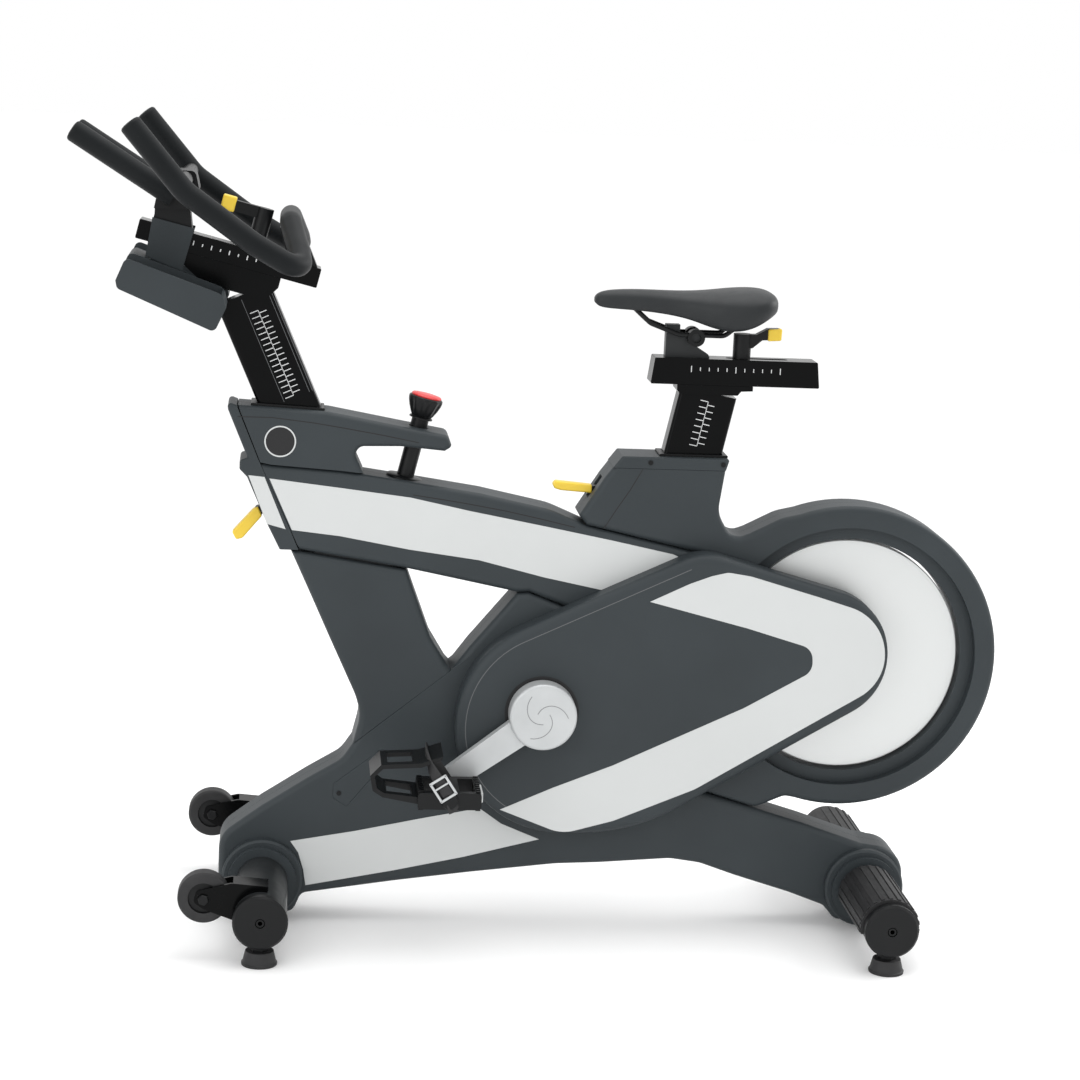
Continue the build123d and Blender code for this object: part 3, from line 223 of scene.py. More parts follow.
def saddle_vinyl():
    """Leather-grain vinyl."""
    look = Look("saddle_vinyl", (0.013, 0.0155, 0.017), 0.46)
    look.shader.inputs["Specular IOR Level"].default_value = 0.32
    look.mottle(look.noise(18.0), (0.0115, 0.0135, 0.015), (0.016, 0.0185, 0.020))
    cells = look.node("ShaderNodeTexVoronoi", Scale=420.0, feature="DISTANCE_TO_EDGE")
    look.link(look.where(), "Object", cells, "Vector")
    look.sheen_range(look.noise(60.0), 0.42, 0.58)
    look.relief(cells, 0.35, 0.0004, "Distance")
    look.relief(look.noise(1500.0, 2.0), 0.15, 0.0001)
    return look.material


def rubber():
    """Matt black rubber."""
    look = Look("rubber", (0.012, 0.012, 0.013), 0.6)
    look.mottle(look.noise(30.0), (0.010, 0.010, 0.011), (0.018, 0.018, 0.019))
    look.sheen_range(look.noise(90.0), 0.5, 0.72)
    look.relief(look.noise(700.0, 3.0), 0.2, 0.0003)
    return look.material


def steel():
    """Brushed bare steel."""
    look = Look("steel", (0.42, 0.43, 0.44), 0.32, 1.0)
    look.mottle(look.noise(40.0), (0.36, 0.37, 0.38), (0.5, 0.51, 0.52))
    look.sheen_range(look.noise(400.0, stretch=(1, 12, 1)), 0.24, 0.42)
    look.relief(look.noise(500.0, stretch=(1, 14, 1)), 0.1, 0.0001)
    return look.material


def turned_alloy(name, centre, colour, roughness):
    """Metal faced on a lathe: fine rings about an axis across the bike."""
    look = Look(name, colour, roughness, 0.55)
    shift = look.node("ShaderNodeMapping", Location=(-centre.x, 0, -centre.z))
    look.link(look.where(), "Object", shift, "Vector")
    split = look.node("ShaderNodeSeparateXYZ")
    look.link(shift, "Vector", split, "Vector")
    flat = look.node("ShaderNodeCombineXYZ")
    look.link(split, "X", flat, "X")
    look.link(split, "Z", flat, "Y")
    length = look.node("ShaderNodeVectorMath", operation="LENGTH")
    look.link(flat, "Vector", length, 0)
    rings = look.node("ShaderNodeTexNoise", noise_dimensions="1D", Scale=2600.0, Detail=3.0)
    look.link(length, "Value", rings, "W")
    tone = tuple(c * 0.93 for c in colour)
    look.mottle(rings, tone, colour)
    look.sheen_range(rings, roughness - 0.06, roughness + 0.08)
    look.relief(rings, 0.12, 0.00008)
    return look.material


def crank_paint():
    """Silver lacquer on the crank arms."""
    look = Look("crank_silver", (0.50, 0.515, 0.52), 0.35, 0.25)
    look.mottle(look.noise(20.0), (0.48, 0.495, 0.50), (0.53, 0.545, 0.55))
    look.sheen_range(look.noise(900.0, 2.0), 0.28, 0.42)
    look.relief(look.noise(1200.0, 2.0), 0.1, 0.00008)
    return look.material


def yellow_sleeve():
    """Soft yellow lever sleeve."""
    look = moulded("yellow_sleeve", (0.80, 0.56, 0.045), 0.42, 600.0, 0.00012, 0.06, 0.05)
    look.shader.inputs["Subsurface Weight"].default_value = 0.06
    look.shader.inputs["Subsurface Radius"].default_value = (0.004, 0.002, 0.0005)
    return look.material


def red_cap():
    """Red moulded button."""
    return moulded("red_cap", (0.62, 0.03, 0.03), 0.34, 700.0, 0.00008, 0.05, 0.05).material


def scale_ink():
    """Pale printed marks."""
    return moulded("scale_ink", (0.62, 0.63, 0.63), 0.5, 1500.0, 0.00005, 0.05, 0.06).material


def edge_line():
    """Pale grey line: a painted highlight on the belt guard's rim, and the plain pale lines along
    the handlebar post.
    """
    return moulded("edge_line", (0.10, 0.104, 0.108), 0.5, 1500.0, 0.00005, 0.05, 0.1).material


def seam_shadow():
    """Near-black colour: painted shade in the gaps and grooves between covers, and the dark face
    of the badge.
    """
    return moulded("seam_shadow", (0.008, 0.008, 0.009), 0.7, 700.0, 0.0002, 0.05, 0.1).material


COVER = cover_plastic()
SILVER = silver_plastic()
GLOSS = gloss_paint()
BLACK = satin_black()
PAINT = dull_paint()
FOAM = foam_grip()
VINYL = saddle_vinyl()
RUBBER = rubber()
STEEL = steel()
DISC = turned_alloy("flywheel_alloy", pivot("flywheel_spin"), (0.70, 0.715, 0.71), 0.36)
PULLEY = turned_alloy("pulley_alloy", pivot("crank_spin"), (0.5, 0.51, 0.52), 0.4)
CRANK = crank_paint()
YELLOW = yellow_sleeve()
RED = red_cap()
INK = scale_ink()
SEAM = seam_shadow()
EDGE = edge_line()
WEBBING = moulded("strap_webbing", (0.011, 0.011, 0.012), 0.55, 1500.0, 0.0003).material
# grey for the grooves on the crank hub covers: painted shade
GROOVE_SHADE = moulded("groove_painted_shade", (0.22, 0.225, 0.23), 0.5, 1500.0, 0.00005, 0.05, 0.1).material

NODE_LOOKS = {
    COVER: ("head_covers", "beam_nose_cap", "beam_covers", "down_tube_covers", "leg_covers",
            "service_hatches", "rear_covers", "seat_tower_cap", "belt_guard",
            "drive_cover_right", "bottle_holder", "holder_bands", "stabiliser_collars"),
    SILVER: ("body_trims", "drive_trims"),
    PAINT: ("main_frame", "stabiliser_tubes", "saddle_pillar"),
    GLOSS: ("handlebar_post", "handlebar_slide_rail", "seat_post", "seat_slide_rail",
            "wheel_brackets"),
    BLACK: ("stabiliser_end_caps", "post_bushings", "cover_screws", "knob_shaft",
            "resistance_knob", "handlebar_stem", "handlebar_slide_lever", "seat_slide_lever",
            "pedal_left", "pedal_right", "toe_cage_left", "toe_cage_right",
            "handlebar_post_lever", "seat_post_lever", "saddle_rails"),
    FOAM: ("handlebar", "aero_bars"),
    VINYL: ("saddle",),
    RUBBER: ("rear_stabiliser_treads", "drive_belt", "foot_front_left", "foot_front_right",
             "foot_rear_left", "foot_rear_right", "transport_wheel_left",
             "transport_wheel_right"),
    STEEL: ("axle_bearings", "caliper_pin", "crank_axle", "flywheel_pulley",
            "flywheel_axle", "brake_caliper"),
    DISC: ("flywheel",),
    PULLEY: ("crank_pulley",),
    CRANK: ("crank_arm_left", "crank_arm_right", "crank_hub_covers"),
}
for material, names in NODE_LOOKS.items():
    for name in names:
        slots = NODES[name].data.materials
        slots.clear()
        slots.append(material)


# ------------------------------------------------------------------ camera and lights
LENS_PX = 2769.07          # focal length on a frame 1080 px wide
YAW, PITCH, ROLL = 0.0946, 0.1846, 0.0441
EYE = place(-382.19, -3964.33, 1317.10)


def add_camera():
    """Camera at the place the lens and angles above give, held with a slight roll."""
    forward = Vector((sin(YAW) * cos(PITCH), cos(YAW) * cos(PITCH), -sin(PITCH)))
    level = Vector((cos(YAW), -sin(YAW), 0))
    above = level.cross(forward)
    right = cos(ROLL) * level + sin(ROLL) * above
    up = -sin(ROLL) * level + cos(ROLL) * above
    data = bpy.data.cameras.new("camera")
    data.sensor_width = 36.0
    data.lens = LENS_PX / 1080 * data.sensor_width
    data.clip_end = 60
    camera = bpy.data.objects.new("camera", data)
    camera.matrix_world = Matrix((
        (right.x, up.x, -forward.x, EYE.x),
        (right.y, up.y, -forward.y, EYE.y),
        (right.z, up.z, -forward.z, EYE.z),
        (0, 0, 0, 1)))
    bpy.context.scene.collection.objects.link(camera)
    bpy.context.scene.camera = camera


def add_light(name, spot, aim, size, power):
    """Square area light aimed at a point."""
    data = bpy.data.lights.new(name, "AREA")
    data.energy = power
    data.size = size
    light = bpy.data.objects.new(name, data)
    light.location = spot
    light.rotation_euler = (Vector(aim) - Vector(spot)).to_track_quat("-Z", "Y").to_euler()
    bpy.context.scene.collection.objects.link(light)


def add_studio():
    """White surroundings, three large soft lights and a pale floor."""
    world = bpy.data.worlds.new("studio")
    world.use_nodes = True
    shade = world.node_tree.nodes["Background"]
    shade.inputs["Color"].default_value = (1.0, 1.0, 1.0, 1)
    shade.inputs["Strength"].default_value = 1.0
    bpy.context.scene.world = world
    bpy.context.scene.view_settings.view_transform = "Standard"
    add_light("top", (0.2, 0.1, 3.2), (0.1, 0, 0.5), 2.6, 40)
    add_light("rear_right", (2.8, 1.0, 1.9), (0.2, 0, 0.6), 1.8, 40)
    add_light("front_left", (-2.4, -2.6, 1.8), (0, 0, 0.6), 2.2, 22)
    mesh = bpy.data.meshes.new("floor")
    bm = bmesh.new()
    bmesh.ops.create_grid(bm, x_segments=2, y_segments=2, size=30)
    bm.to_mesh(mesh)
    floor = bpy.data.objects.new("floor", mesh)
    floor.location.z = -0.0004
    bpy.context.scene.collection.objects.link(floor)
    look = Look("floor_paper", (0.96, 0.96, 0.96), 0.9)
    look.mottle(look.noise(0.8), (0.955, 0.955, 0.955), (0.965, 0.965, 0.965))
    look.shader.inputs["Emission Color"].default_value = (1.0, 1.0, 1.0, 1)
    look.shader.inputs["Emission Strength"].default_value = 0.06
    mesh.materials.append(look.material)


# ------------------------------------------------------------------ mesh helpers
def piece(name, bm, material, body, smooth=None):
    """Turn a bmesh into a piece that rides on a body."""
    mesh = bpy.data.meshes.new(name)
    bmesh.ops.recalc_face_normals(bm, faces=bm.faces)
    bm.to_mesh(mesh)
    bm.free()
    made = bpy.data.objects.new(name, mesh)
    bpy.context.scene.collection.objects.link(made)
    mesh.materials.append(material)
    if smooth is not None:
        for polygon in mesh.polygons:
            polygon.use_smooth = True
        mesh.set_sharp_from_angle(angle=radians(smooth))
    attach(made, body)
    return made


def soften(made, width, segments=2, angle=35):
    """Round a piece's hard edges."""
    bevel = made.modifiers.new("edges", "BEVEL")
    bevel.width = width * MM
    bevel.segments = segments
    bevel.limit_method = "ANGLE"
    bevel.angle_limit = radians(angle)
    return made


def prism(bm, outline, thickness):
    """Closed prism from an outline of points, swept by a vector."""
    low = [bm.verts.new(point) for point in outline]
    high = [bm.verts.new(point + thickness) for point in outline]
    bm.faces.new(low[::-1])
    bm.faces.new(high)
    for i in range(len(outline)):
        j = (i + 1) % len(outline)
        bm.faces.new((low[i], low[j], high[j], high[i]))


def slab(bm, centre, u, v, w, size):
    """Box about a centre, along three unit vectors, with sizes in millimetres."""
    a, b, c = (axis * s * MM / 2 for axis, s in zip((u, v, w), size))
    outline = [centre - a - b - c, centre + a - b - c, centre + a + b - c, centre - a + b - c]
    prism(bm, outline, 2 * c)


def lathe(bm, origin, axis, profile, steps=48):
    """Closed turned shape: (radius, height) pairs in millimetres about an axis."""
    side = axis.orthogonal().normalized()
    other = axis.cross(side)
    rings = []
    for radius, height in profile:
        base = origin + axis * height * MM
        if radius <= 0:
            rings.append([bm.verts.new(base)])
            continue
        rings.append([bm.verts.new(base + (side * cos(2 * pi * i / steps)
                                           + other * sin(2 * pi * i / steps)) * radius * MM)
                      for i in range(steps)])
    for low, high in zip(rings, rings[1:]):
        for i in range(steps):
            j = (i + 1) % steps
            if len(low) == 1 and len(high) > 1:
                bm.faces.new((low[0], high[j], high[i]))
            elif len(high) == 1 and len(low) > 1:
                bm.faces.new((low[i], low[j], high[0]))
            elif len(low) > 1:
                bm.faces.new((low[i], low[j], high[j], high[i]))
    for ring, flip in ((rings[0], True), (rings[-1], False)):
        if len(ring) > 1:
            bm.faces.new(ring[::-1] if flip else ring)


def ribbon(bm, points, half, thickness, normal):
    """Thin raised strip along a path, flat against a face with that normal."""
    lift = normal * thickness * MM
    rows = []
    for i, point in enumerate(points):
        back = points[max(i - 1, 0)]
        ahead = points[min(i + 1, len(points) - 1)]
        run = (ahead - back).normalized()
        across = normal.cross(run).normalized() * half * MM
        rows.append([bm.verts.new(point + across), bm.verts.new(point + across + lift),
                     bm.verts.new(point - across + lift), bm.verts.new(point - across)])
    for a, b in zip(rows, rows[1:]):
        for i in range(4):
            j = (i + 1) % 4
            bm.faces.new((a[i], a[j], b[j], b[i]))
    bm.faces.new(rows[0][::-1])
    bm.faces.new(rows[-1])


# ------------------------------------------------------------------ scales
POST_TOP = place(-376, 0, 763)        # post axis where it leaves the head cover
SEAT_TOP = place(210, 0, 709)         # post axis where it leaves the seat tower
POST_FACE = 21.0                      # half thickness of each post
SEAT_FACE = 20.0
RAIL_REAR = place(-336, 0, 960)       # top rear corner of the handlebar rail
RAIL_FACE = 22.0
SEAT_RAIL_LOW, SEAT_RAIL_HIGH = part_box("seat_slide_rail")
INK_LIFT = 0.12                       # printed marks stand this proud
# a comb's foot above and behind its post's top, number of teeth, pitch and reach of a tooth
POST_COMB = (12, 11, 16, 8.2, 12.5)
SEAT_COMB = (14, 2, 7, 9.5, 11.5)
POST_LINES = (-5, 34, 38.5)           # lines along the post, behind its axis
POST_LINE_START, POST_LINE_LENGTH = 8, 158
MARK_PITCH = 13                       # between marks on both rails


def comb(name, top, up, back, face, layout):
    """Printed comb on a post: a spine with teeth on both sides, half a pitch apart."""
    rise, behind, count, pitch, reach = layout
    foot = top + up * rise * MM + back * behind * MM
    bm = bmesh.new()
    for sign in (-1, 1):
        out = ACROSS * sign
        level = foot + out * face * MM
        ribbon(bm, [level, level + up * pitch * count * MM], 0.45, INK_LIFT, out)
        for i in range(count + 1):
            tooth = level + up * pitch * i * MM
            ribbon(bm, [tooth - back * reach * MM, tooth], 0.6, INK_LIFT, out)
            if i < count:
                tooth += up * pitch / 2 * MM
                ribbon(bm, [tooth, tooth + back * reach * 0.9 * MM], 0.6, INK_LIFT, out)
    piece(f"{name}_scale", bm, INK, name)


def add_scales():
    """Printed scales and lines on both posts and both rails."""
    post_back = ACROSS.cross(POST_UP)
    comb("handlebar_post", POST_TOP, POST_UP, post_back, POST_FACE, POST_COMB)
    bm = bmesh.new()
    for sign in (-1, 1):
        for offset in POST_LINES:
            foot = (POST_TOP + POST_UP * POST_LINE_START * MM + post_back * offset * MM
                    + ACROSS * sign * POST_FACE * MM)
            ribbon(bm, [foot, foot + POST_UP * POST_LINE_LENGTH * MM], 0.35, INK_LIFT,
                   ACROSS * sign)
    piece("handlebar_post_lines", bm, EDGE, "handlebar_post")
    comb("seat_post", SEAT_TOP, SEAT_UP, ACROSS.cross(SEAT_UP), SEAT_FACE, SEAT_COMB)
    bm = bmesh.new()
    for sign in (-1, 1):
        for i in range(9):
            spot = (RAIL_REAR + RAIL_BACK * (-92 - MARK_PITCH * i) * MM - RAIL_UP * 13 * MM
                    + ACROSS * sign * RAIL_FACE * MM)
            tall = 3.2 if i % 2 else 2.0
            ribbon(bm, [spot - RAIL_UP * tall * MM, spot + RAIL_UP * tall * MM], 0.8,
                   INK_LIFT, ACROSS * sign)
    piece("handlebar_rail_scale", bm, INK, "handlebar_slider")
    bm = bmesh.new()
    middle = (SEAT_RAIL_LOW + SEAT_RAIL_HIGH) / 2
    for sign in (-1, 1):
        for i in range(-5, 6):
            spot = Vector((middle.x + i * MARK_PITCH * MM, sign * RAIL_FACE * MM,
                           middle.z + 4 * MM))
            tall = 4.5 if i % 5 == 0 else 2.6
            ribbon(bm, [spot - UP * tall * MM, spot + UP * tall * MM], 0.6, INK_LIFT,
                   ACROSS * sign)
    piece("seat_rail_scale", bm, INK, "seat_slider")


# ------------------------------------------------------------------ saddle
SADDLE_LINES = [   # x, half width, top of the crown, lowest edge of the skirt
    (57, 9, 932, 926), (62, 15, 939, 919), (79, 20, 944, 917), (122, 25, 946, 916),
    (166, 33, 945, 912), (196, 44, 945.5, 906), (218, 56, 947, 898), (240, 68, 949.5, 893),
    (262, 76, 952, 893), (284, 78, 953, 900), (302, 73, 952, 912), (314, 60, 948, 920),
    (321, 38, 941, 926)]


def add_saddle():
    """Padded saddle: crowned top, rolled skirt and a recessed shell underneath."""
    bm = bmesh.new()
    steps = 28
    rings = []
    for x, half, top, low in SADDLE_LINES:
        waist = low + (top - low) * 0.42
        ring = []
        for i in range(steps):
            turn = 2 * pi * i / steps
            side_way, lift = cos(turn), sin(turn)
            y = half * (abs(side_way) ** 0.8) * (1 if side_way >= 0 else -1)
            if lift >= 0:
                z = waist + (top - waist) * lift ** 0.75
            else:
                tuck = abs(lift)
                z = waist - (waist - low) * sin(pi * min(tuck / 0.62, 1.0) / 2)
                if tuck > 0.62:
                    z += (waist - low) * 0.75 * (tuck - 0.62) / 0.38
                y *= 1 - 0.06 * tuck
            ring.append(bm.verts.new(place(x, y, z)))
        rings.append(ring)
    for a, b in zip(rings, rings[1:]):
        for i in range(steps):
            j = (i + 1) % steps
            bm.faces.new((a[i], a[j], b[j], b[i]))
    bm.faces.new(rings[0])
    bm.faces.new(rings[-1][::-1])
    made = piece("saddle_pad", bm, VINYL, "saddle", smooth=80)
    swell = made.modifiers.new("round", "SUBSURF")
    swell.levels = swell.render_levels = 2
    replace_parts(made, "saddle")


# ------------------------------------------------------------------ levers and knob
SLIDE_LEVER_RISE = 44.3      # underside of the handlebar slide lever's arm above its pivot


def add_sleeves():
    """Yellow sleeves on the four clamp levers."""
    def sleeve(name, outline, half, body):
        """Sleeve with a side-plane outline, this wide to each side of the middle."""
        bm = bmesh.new()
        prism(bm, [place(x, -half, z) for x, z in outline], ACROSS * 2 * half * MM)
        soften(piece(name, bm, YELLOW, body, smooth=40), 2.2, 3)

    sleeve("post_lever_sleeve", [(-418, 614), (-426, 607), (-454, 575), (-448, 564),
                                 (-439, 566), (-411, 600)], 9.5, "handlebar_post_lever")
    sleeve("seat_lever_sleeve", [(66, 658.5), (12, 663), (8, 658), (11, 652), (20, 649.5),
                                 (66, 646.5)], 8.5, "seat_post_lever")
    sleeve("seat_slide_sleeve", [(312, 877), (332, 878.3), (332.5, 895.6), (312, 894.6)], 10,
           "seat_slide_lever")
    tip = pivot("handlebar_slide_lever_turn") + RAIL_UP * SLIDE_LEVER_RISE * MM
    bm = bmesh.new()
    outline = [tip + RAIL_BACK * x * MM + RAIL_UP * z * MM - ACROSS * 9.5 * MM
               for x, z in ((-42, -1.5), (-42, 20), (-62, 20), (-62, 3), (-50, -1.5))]
    prism(bm, outline, ACROSS * 19 * MM)
    soften(piece("handlebar_slide_sleeve", bm, YELLOW, "handlebar_slide_lever",
                 smooth=40), 2.2, 3)


KNOB_TOP = pivot("knob_turn") + KNOB_UP * 121.3 * MM
KNOB_SCALLOPS = 10
KNOB_PROFILE = [   # radius, height from the top of the grip, depth of the scallops
    (9, -32, 0), (17, -32, 0), (17, -30.2, 0), (14.6, -28.6, 0), (17.5, -24.6, 0.5),
    (21.5, -17, 2.0), (24.5, -9, 2.4), (25.4, -4, 1.2), (24.8, -1.2, 0.4), (23.2, 0, 0),
    (9, 0.2, 0)]


def add_knob_grip():
    """Scalloped grip that flares towards the top, in place of the plain one."""
    side = ACROSS.cross(KNOB_UP)
    bm = bmesh.new()
    rings = []
    steps = 120
    for radius, height, scallop in KNOB_PROFILE:
        ring = []
        for i in range(steps):
            turn = 2 * pi * i / steps
            reach = (radius - scallop * (0.5 + 0.5 * cos(KNOB_SCALLOPS * turn))) * MM
            ring.append(bm.verts.new(KNOB_TOP + KNOB_UP * height * MM
                                     + (side * cos(turn) + ACROSS * sin(turn)) * reach))
        rings.append(ring)
    for a, b in zip(rings, rings[1:]):
        for i in range(steps):
            j = (i + 1) % steps
            bm.faces.new((a[i], a[j], b[j], b[i]))
    bm.faces.new(rings[0][::-1])
    bm.faces.new(rings[-1])
    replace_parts(piece("knob_grip", bm, BLACK, "resistance_knob", smooth=45),
                "resistance_knob")


def add_knob_top():
    """Red button in the top of the knob, and the gaiter where its shaft enters the beam."""
    bm = bmesh.new()
    lathe(bm, KNOB_TOP, KNOB_UP,
          [(0, 0), (21.5, 0), (22, 0.6), (22, 2.2), (20.5, 3.6), (13, 4.6), (0, 5)])
    piece("knob_red_cap", bm, RED, "resistance_knob", smooth=40)
    bm = bmesh.new()
    lathe(bm, pivot("knob_turn"), KNOB_UP,
          [(14, -6), (27, -6), (27, 1), (25, 2.5), (15, 3.5), (14, 3.5)])
    piece("knob_gaiter", bm, BLACK, "root", smooth=40)


BAR_TIPS = {       # each bar's end and a point behind it on the axis, right-hand side
    "handlebar": ((-597, 198, 1159), (-524, 200, 1073)),
    "aero": ((-684, 36, 1141), (-545, 36, 1055))}


def add_grip_ends():
    """Rounded plugs in the open ends of the grips and aero bars."""
    for name, tip in BAR_TIPS.items():
        for tag, sign in (("left", -1), ("right", 1)):
            end, inner = (place(x, sign * y, z) for x, y, z in tip)
            out = (end - inner).normalized()
            bm = bmesh.new()
            lathe(bm, end - out * MM, out,
                  [(0, 0), (15.45, 0), (15.45, 1), (14.8, 3.2), (12.6, 5), (8, 6), (0, 6.4)])
            piece(f"{name}_end_{tag}", bm, FOAM, "handlebar_slider", smooth=60)


# ------------------------------------------------------------------ base fittings
FRONT_TUBE_X, REAR_TUBE_X, TUBE_Z = -398, 498, 67   # stabiliser axes
CAP_FACE = 256                                       # outer face of the end caps


def add_base_fittings():
    """Rims and nuts of the levelling feet, and the screws in the end caps."""
    for end in ("front", "rear"):
        for tag, sign in (("left", -1), ("right", 1)):
            low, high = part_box(f"foot_{end}_{tag}")
            axis = (low + high) / 2
            bm = bmesh.new()
            lathe(bm, Vector((axis.x, axis.y, low.z)), UP,
                  [(0, 0.2), (23, 0.2), (25.4, 1.6), (25.4, 3.4), (23.6, 4.6), (23.2, 6)])
            piece(f"foot_rim_{end}_{tag}", bm, RUBBER, f"foot_{end}_{tag}",
                  smooth=50)
            bm = bmesh.new()
            lathe(bm, Vector((axis.x, axis.y, low.z)), UP,
                  [(0, 19.8), (13, 19.8), (13, 26), (11.5, 28), (0, 28)], 6)
            piece(f"foot_nut_{end}_{tag}", bm, BLACK, f"foot_{end}_{tag}", smooth=20)
    for end, x in (("front", FRONT_TUBE_X), ("rear", REAR_TUBE_X)):
        for tag, sign in (("left", -1), ("right", 1)):
            centre = place(x, sign * CAP_FACE, TUBE_Z)
            bm = bmesh.new()
            lathe(bm, centre - ACROSS * sign * 4 * MM, ACROSS * sign,
                  [(3.2, 1), (3.2, 3.2), (5.6, 3.6), (6.4, 2.4), (6.4, 1)], 24)
            piece(f"cap_screw_{end}_{tag}", bm, BLACK, "root", smooth=30)


TREAD_START = 74       # inner end of each tread, from the middle of the tube


def add_tread_ribs():
    """Lengthwise ribs over the rear stabiliser's grip covers."""
    low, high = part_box("rear_stabiliser_treads")
    axis = place(REAR_TUBE_X, 0, TUBE_Z)
    radius = (high.z - axis.z) / MM
    for tag, start, end in (("left", low.y, -TREAD_START * MM),
                            ("right", TREAD_START * MM, high.y)):
        bm = bmesh.new()
        for i in range(13):
            turn = radians(-6 + i * 16)
            out = Vector((cos(turn), 0, sin(turn)))
            spot = axis + out * radius * MM
            ribbon(bm, [Vector((spot.x, start + 3 * MM, spot.z)),
                        Vector((spot.x, end - 3 * MM, spot.z))], 2.6, 1.5, out)
        piece(f"tread_ribs_{tag}", bm, RUBBER, "root")


def add_wheel_details():
    """Raised hubs on both faces of the transport wheels, and their axle bolts."""
    for tag in ("left", "right"):
        centre = pivot(f"wheel_{tag}_spin")
        bm = bmesh.new()
        for out in (-1, 1):
            lathe(bm, centre + ACROSS * out * 8.6 * MM, ACROSS * out,
                  [(6, 0), (21.6, 0), (21.6, 1.6), (14, 2.4), (9, 4.2), (6, 4.2)], 40)
        piece(f"wheel_hub_{tag}", bm, BLACK, f"transport_wheel_{tag}", smooth=30)
        bm = bmesh.new()
        for out in (-1, 1):
            lathe(bm, centre + ACROSS * out * 18 * MM, ACROSS * out,
                  [(0, 0), (8, 0), (8, 4), (7, 5), (0, 5)], 6)
        piece(f"wheel_bolt_{tag}", bm, BLACK, "root", smooth=20)


# ------------------------------------------------------------------ body lines
COVER_FACE = 40.0                     # outer face of the body covers
GUARD_FACE = 80.0                     # outer face of the belt guard and of the right cover


def line_on_body(name, points, face=COVER_FACE, half=0.7, material=SEAM):
    """A thin line laid on both sides of the body, through side-plane points; by default dark, as
    painted shade in a groove.
    """
    bm = bmesh.new()
    for sign in (-1, 1):
        ribbon(bm, [place(x, sign * face, z) for x, z in points], half, 0.1, ACROSS * sign)
    piece(name, bm, material, "root")


def add_body_lines():
    """Seams that run along the head cover, the beam and the seat tower, drawn dark as painted
    shade in their grooves.
    """
    line_on_body("head_cover_line", [(-449, 748), (-400, 748), (-340, 742), (-298, 736),
                                     (-240, 727), (-190, 718)])
    line_on_body("beam_cover_line", [(-196, 642), (-150, 636), (-115, 631), (-60, 622),
                                     (-10, 612), (40, 601)])
    line_on_body("tower_panel_line", [(135, 689), (118, 658), (100, 630), (82, 600)])


GUARD_ARC = (32, 310, 142)     # centre and radius of the guard's front rim line, a painted highlight


def add_guard_rim():
    """Fine stepped pale line that follows the rim of the belt guard: a painted highlight where
    the rim catches the light.
    """
    x, z, radius = GUARD_ARC
    points = [(x + radius * cos(radians(turn)), z + radius * sin(radians(turn)))
              for turn in range(246, 114, -4)]
    points.append((208, 551))
    line_on_body("guard_rim_highlight", points, GUARD_FACE, 0.55, EDGE)


BADGE = (-388, 714)


def add_emblem():
    """Plain ring with a dark face on each side of the head cover."""
    x, z = BADGE
    for tag, sign in (("left", -1), ("right", 1)):
        bm = bmesh.new()
        lathe(bm, place(x, sign * COVER_FACE, z), ACROSS * sign,
              [(20.6, -0.3), (22.6, -0.3), (22.6, 0.5), (20.6, 0.5), (20.6, -0.3)], 72)
        bmesh.ops.remove_doubles(bm, verts=bm.verts, dist=1e-7)
        piece(f"badge_ring_{tag}", bm, SILVER, "root", smooth=30)
        bm = bmesh.new()
        lathe(bm, place(x, sign * COVER_FACE, z), ACROSS * sign,
              [(0, -0.3), (20.4, -0.3), (20.4, 0.25), (0, 0.25)], 72)
        piece(f"badge_face_{tag}", bm, SEAM, "root", smooth=30)


# ------------------------------------------------------------------ pedals
PEDAL_INNER, PEDAL_OUTER = 112, 202     # ends of the pedal body, from the middle of the bike


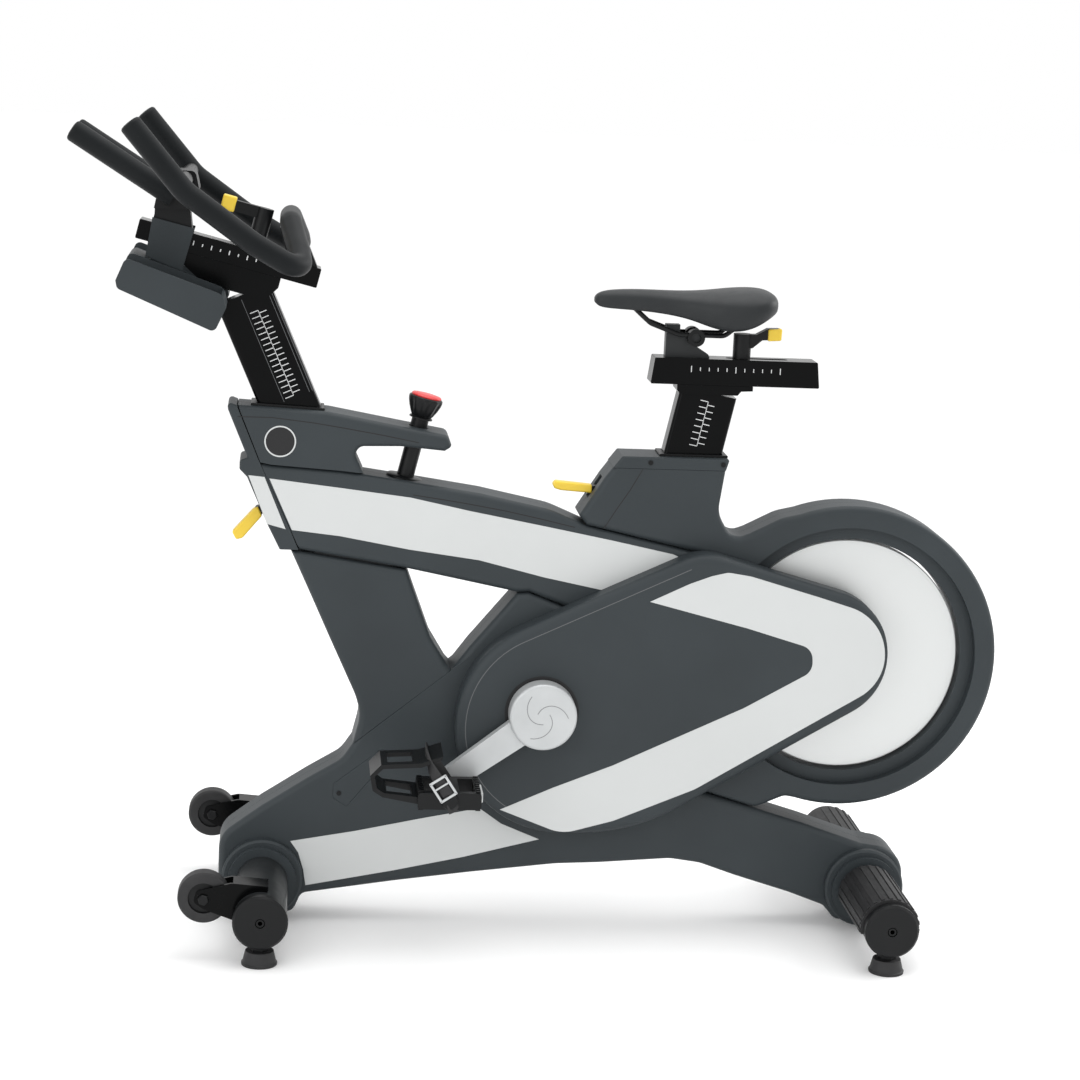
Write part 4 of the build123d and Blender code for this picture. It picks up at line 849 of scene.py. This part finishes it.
def add_pedal_details():
    """Grip teeth, outer cap, reflector, toe strap and buckle of each pedal."""
    for tag, sign in (("left", -1), ("right", 1)):
        hub = pivot(f"pedal_{tag}_spin")
        body = f"pedal_{tag}"
        inner, outer = sign * PEDAL_INNER, sign * PEDAL_OUTER

        def spot(x, y, z):
            """x and z from the pedal's axle, y from the middle of the bike."""
            return Vector((hub.x + x * MM, y * MM, hub.z + z * MM))

        bm = bmesh.new()
        for edge in (-1, 1):
            for i in range(9):
                y = inner + sign * (6 + i * 9.7)
                for z in (12.8, -12.8):
                    slab(bm, spot(edge * 40.5, y, z), REAR, ACROSS, UP, (7, 3.4, 3))
        piece(f"pedal_teeth_{tag}", bm, BLACK, body)

        bm = bmesh.new()
        lathe(bm, spot(0, outer - sign * 1, 0), ACROSS * sign,
              [(0, 0), (12, 0), (12, 4), (10, 6), (0, 6)], 32)
        piece(f"pedal_cap_{tag}", bm, BLACK, body, smooth=40)

        bm = bmesh.new()
        slab(bm, spot(46.5, (inner + outer) / 2, 0), REAR, ACROSS, UP, (4, 46, 14))
        soften(piece(f"pedal_reflector_{tag}", bm, SILVER, body, smooth=30), 1)

        strap = [(6, outer + sign * 2, -15), (4, outer + sign * 3.5, 0),
                 (-8, outer + sign * 3, 18), (-22, outer, 38), (-30, outer - sign * 8, 51),
                 (-33, outer - sign * 24, 61), (-34, (inner + outer) / 2, 64),
                 (-33, inner + sign * 24, 61), (-30, inner + sign * 8, 51),
                 (-22, inner, 38), (-8, inner - sign * 2, 18), (4, inner - sign * 3, 0),
                 (6, inner - sign * 2, -15)]
        add_strap(f"toe_strap_{tag}", [spot(*point) for point in strap], body)

        bm = bmesh.new()
        centre = spot(-10, outer + sign * 5.5, 20)
        run = Vector((-0.55, 0, 0.83)).normalized()
        wide = ACROSS.cross(run)
        for offset in (-1, 1):
            slab(bm, centre + run * offset * 15 * MM, run, wide, ACROSS, (3.4, 27, 3.4))
            slab(bm, centre + wide * offset * 12 * MM, run, wide, ACROSS, (32, 3.4, 3.4))
        slab(bm, centre + run * 4 * MM, run, wide, ACROSS, (2.6, 24, 2.6))
        soften(piece(f"strap_buckle_{tag}", bm, CRANK, body, smooth=40), 0.8)


def add_strap(name, points, body):
    """Flat strap, 15 mm wide, along a smooth loop of points."""
    data = bpy.data.curves.new(name, "CURVE")
    data.dimensions = "3D"
    data.resolution_u = 10
    data.extrude = 7.5 * MM
    data.bevel_depth = 0.9 * MM
    data.bevel_resolution = 1
    spline = data.splines.new("NURBS")
    spline.points.add(len(points) - 1)
    for target, point in zip(spline.points, points):
        target.co = (*point, 1)
    spline.order_u = 3
    spline.use_endpoint_u = True
    data.twist_mode = "Z_UP"
    made = bpy.data.objects.new(name, data)
    bpy.context.scene.collection.objects.link(made)
    data.materials.append(WEBBING)
    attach(made, body)


# ------------------------------------------------------------------ hub relief
def add_hub_relief():
    """Winding groove on each crank hub cover, drawn as a raised grey line of painted shade, and a
    dark ring of painted shade for the gap round it on the guard.
    """
    hub = pivot("crank_spin")
    low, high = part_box("crank_hub_covers")
    for tag, sign in (("left", -1), ("right", 1)):
        out = ACROSS * sign
        face = Vector((hub.x, low.y if sign < 0 else high.y, hub.z))
        bm = bmesh.new()
        for start in (0, 120, 240):
            points = []
            for i in range(19):
                t = i / 18
                turn = radians(start + 150 * t)
                reach = (36 - 26 * sin(pi * t / 2)) * MM
                points.append(face + REAR * cos(turn) * reach + UP * sin(turn) * reach)
            ribbon(bm, points, 0.55, 0.15, out)
        piece(f"hub_relief_{tag}", bm, GROOVE_SHADE, "crankset")
        guard = Vector((hub.x, sign * GUARD_FACE * MM, hub.z))
        bm = bmesh.new()
        lathe(bm, guard, out, [(44, -0.3), (54, -0.3), (54, 0.15), (44, 0.15), (44, -0.3)], 72)
        bmesh.ops.remove_doubles(bm, verts=bm.verts, dist=1e-7)
        piece(f"hub_gap_{tag}", bm, SEAM, "root", smooth=30)


# ------------------------------------------------------------------ build
add_camera()
add_studio()
add_scales()
add_saddle()
add_sleeves()
add_knob_grip()
add_knob_top()
add_grip_ends()
add_base_fittings()
add_tread_ribs()
add_wheel_details()
add_body_lines()
add_guard_rim()
add_emblem()
add_pedal_details()
add_hub_relief()
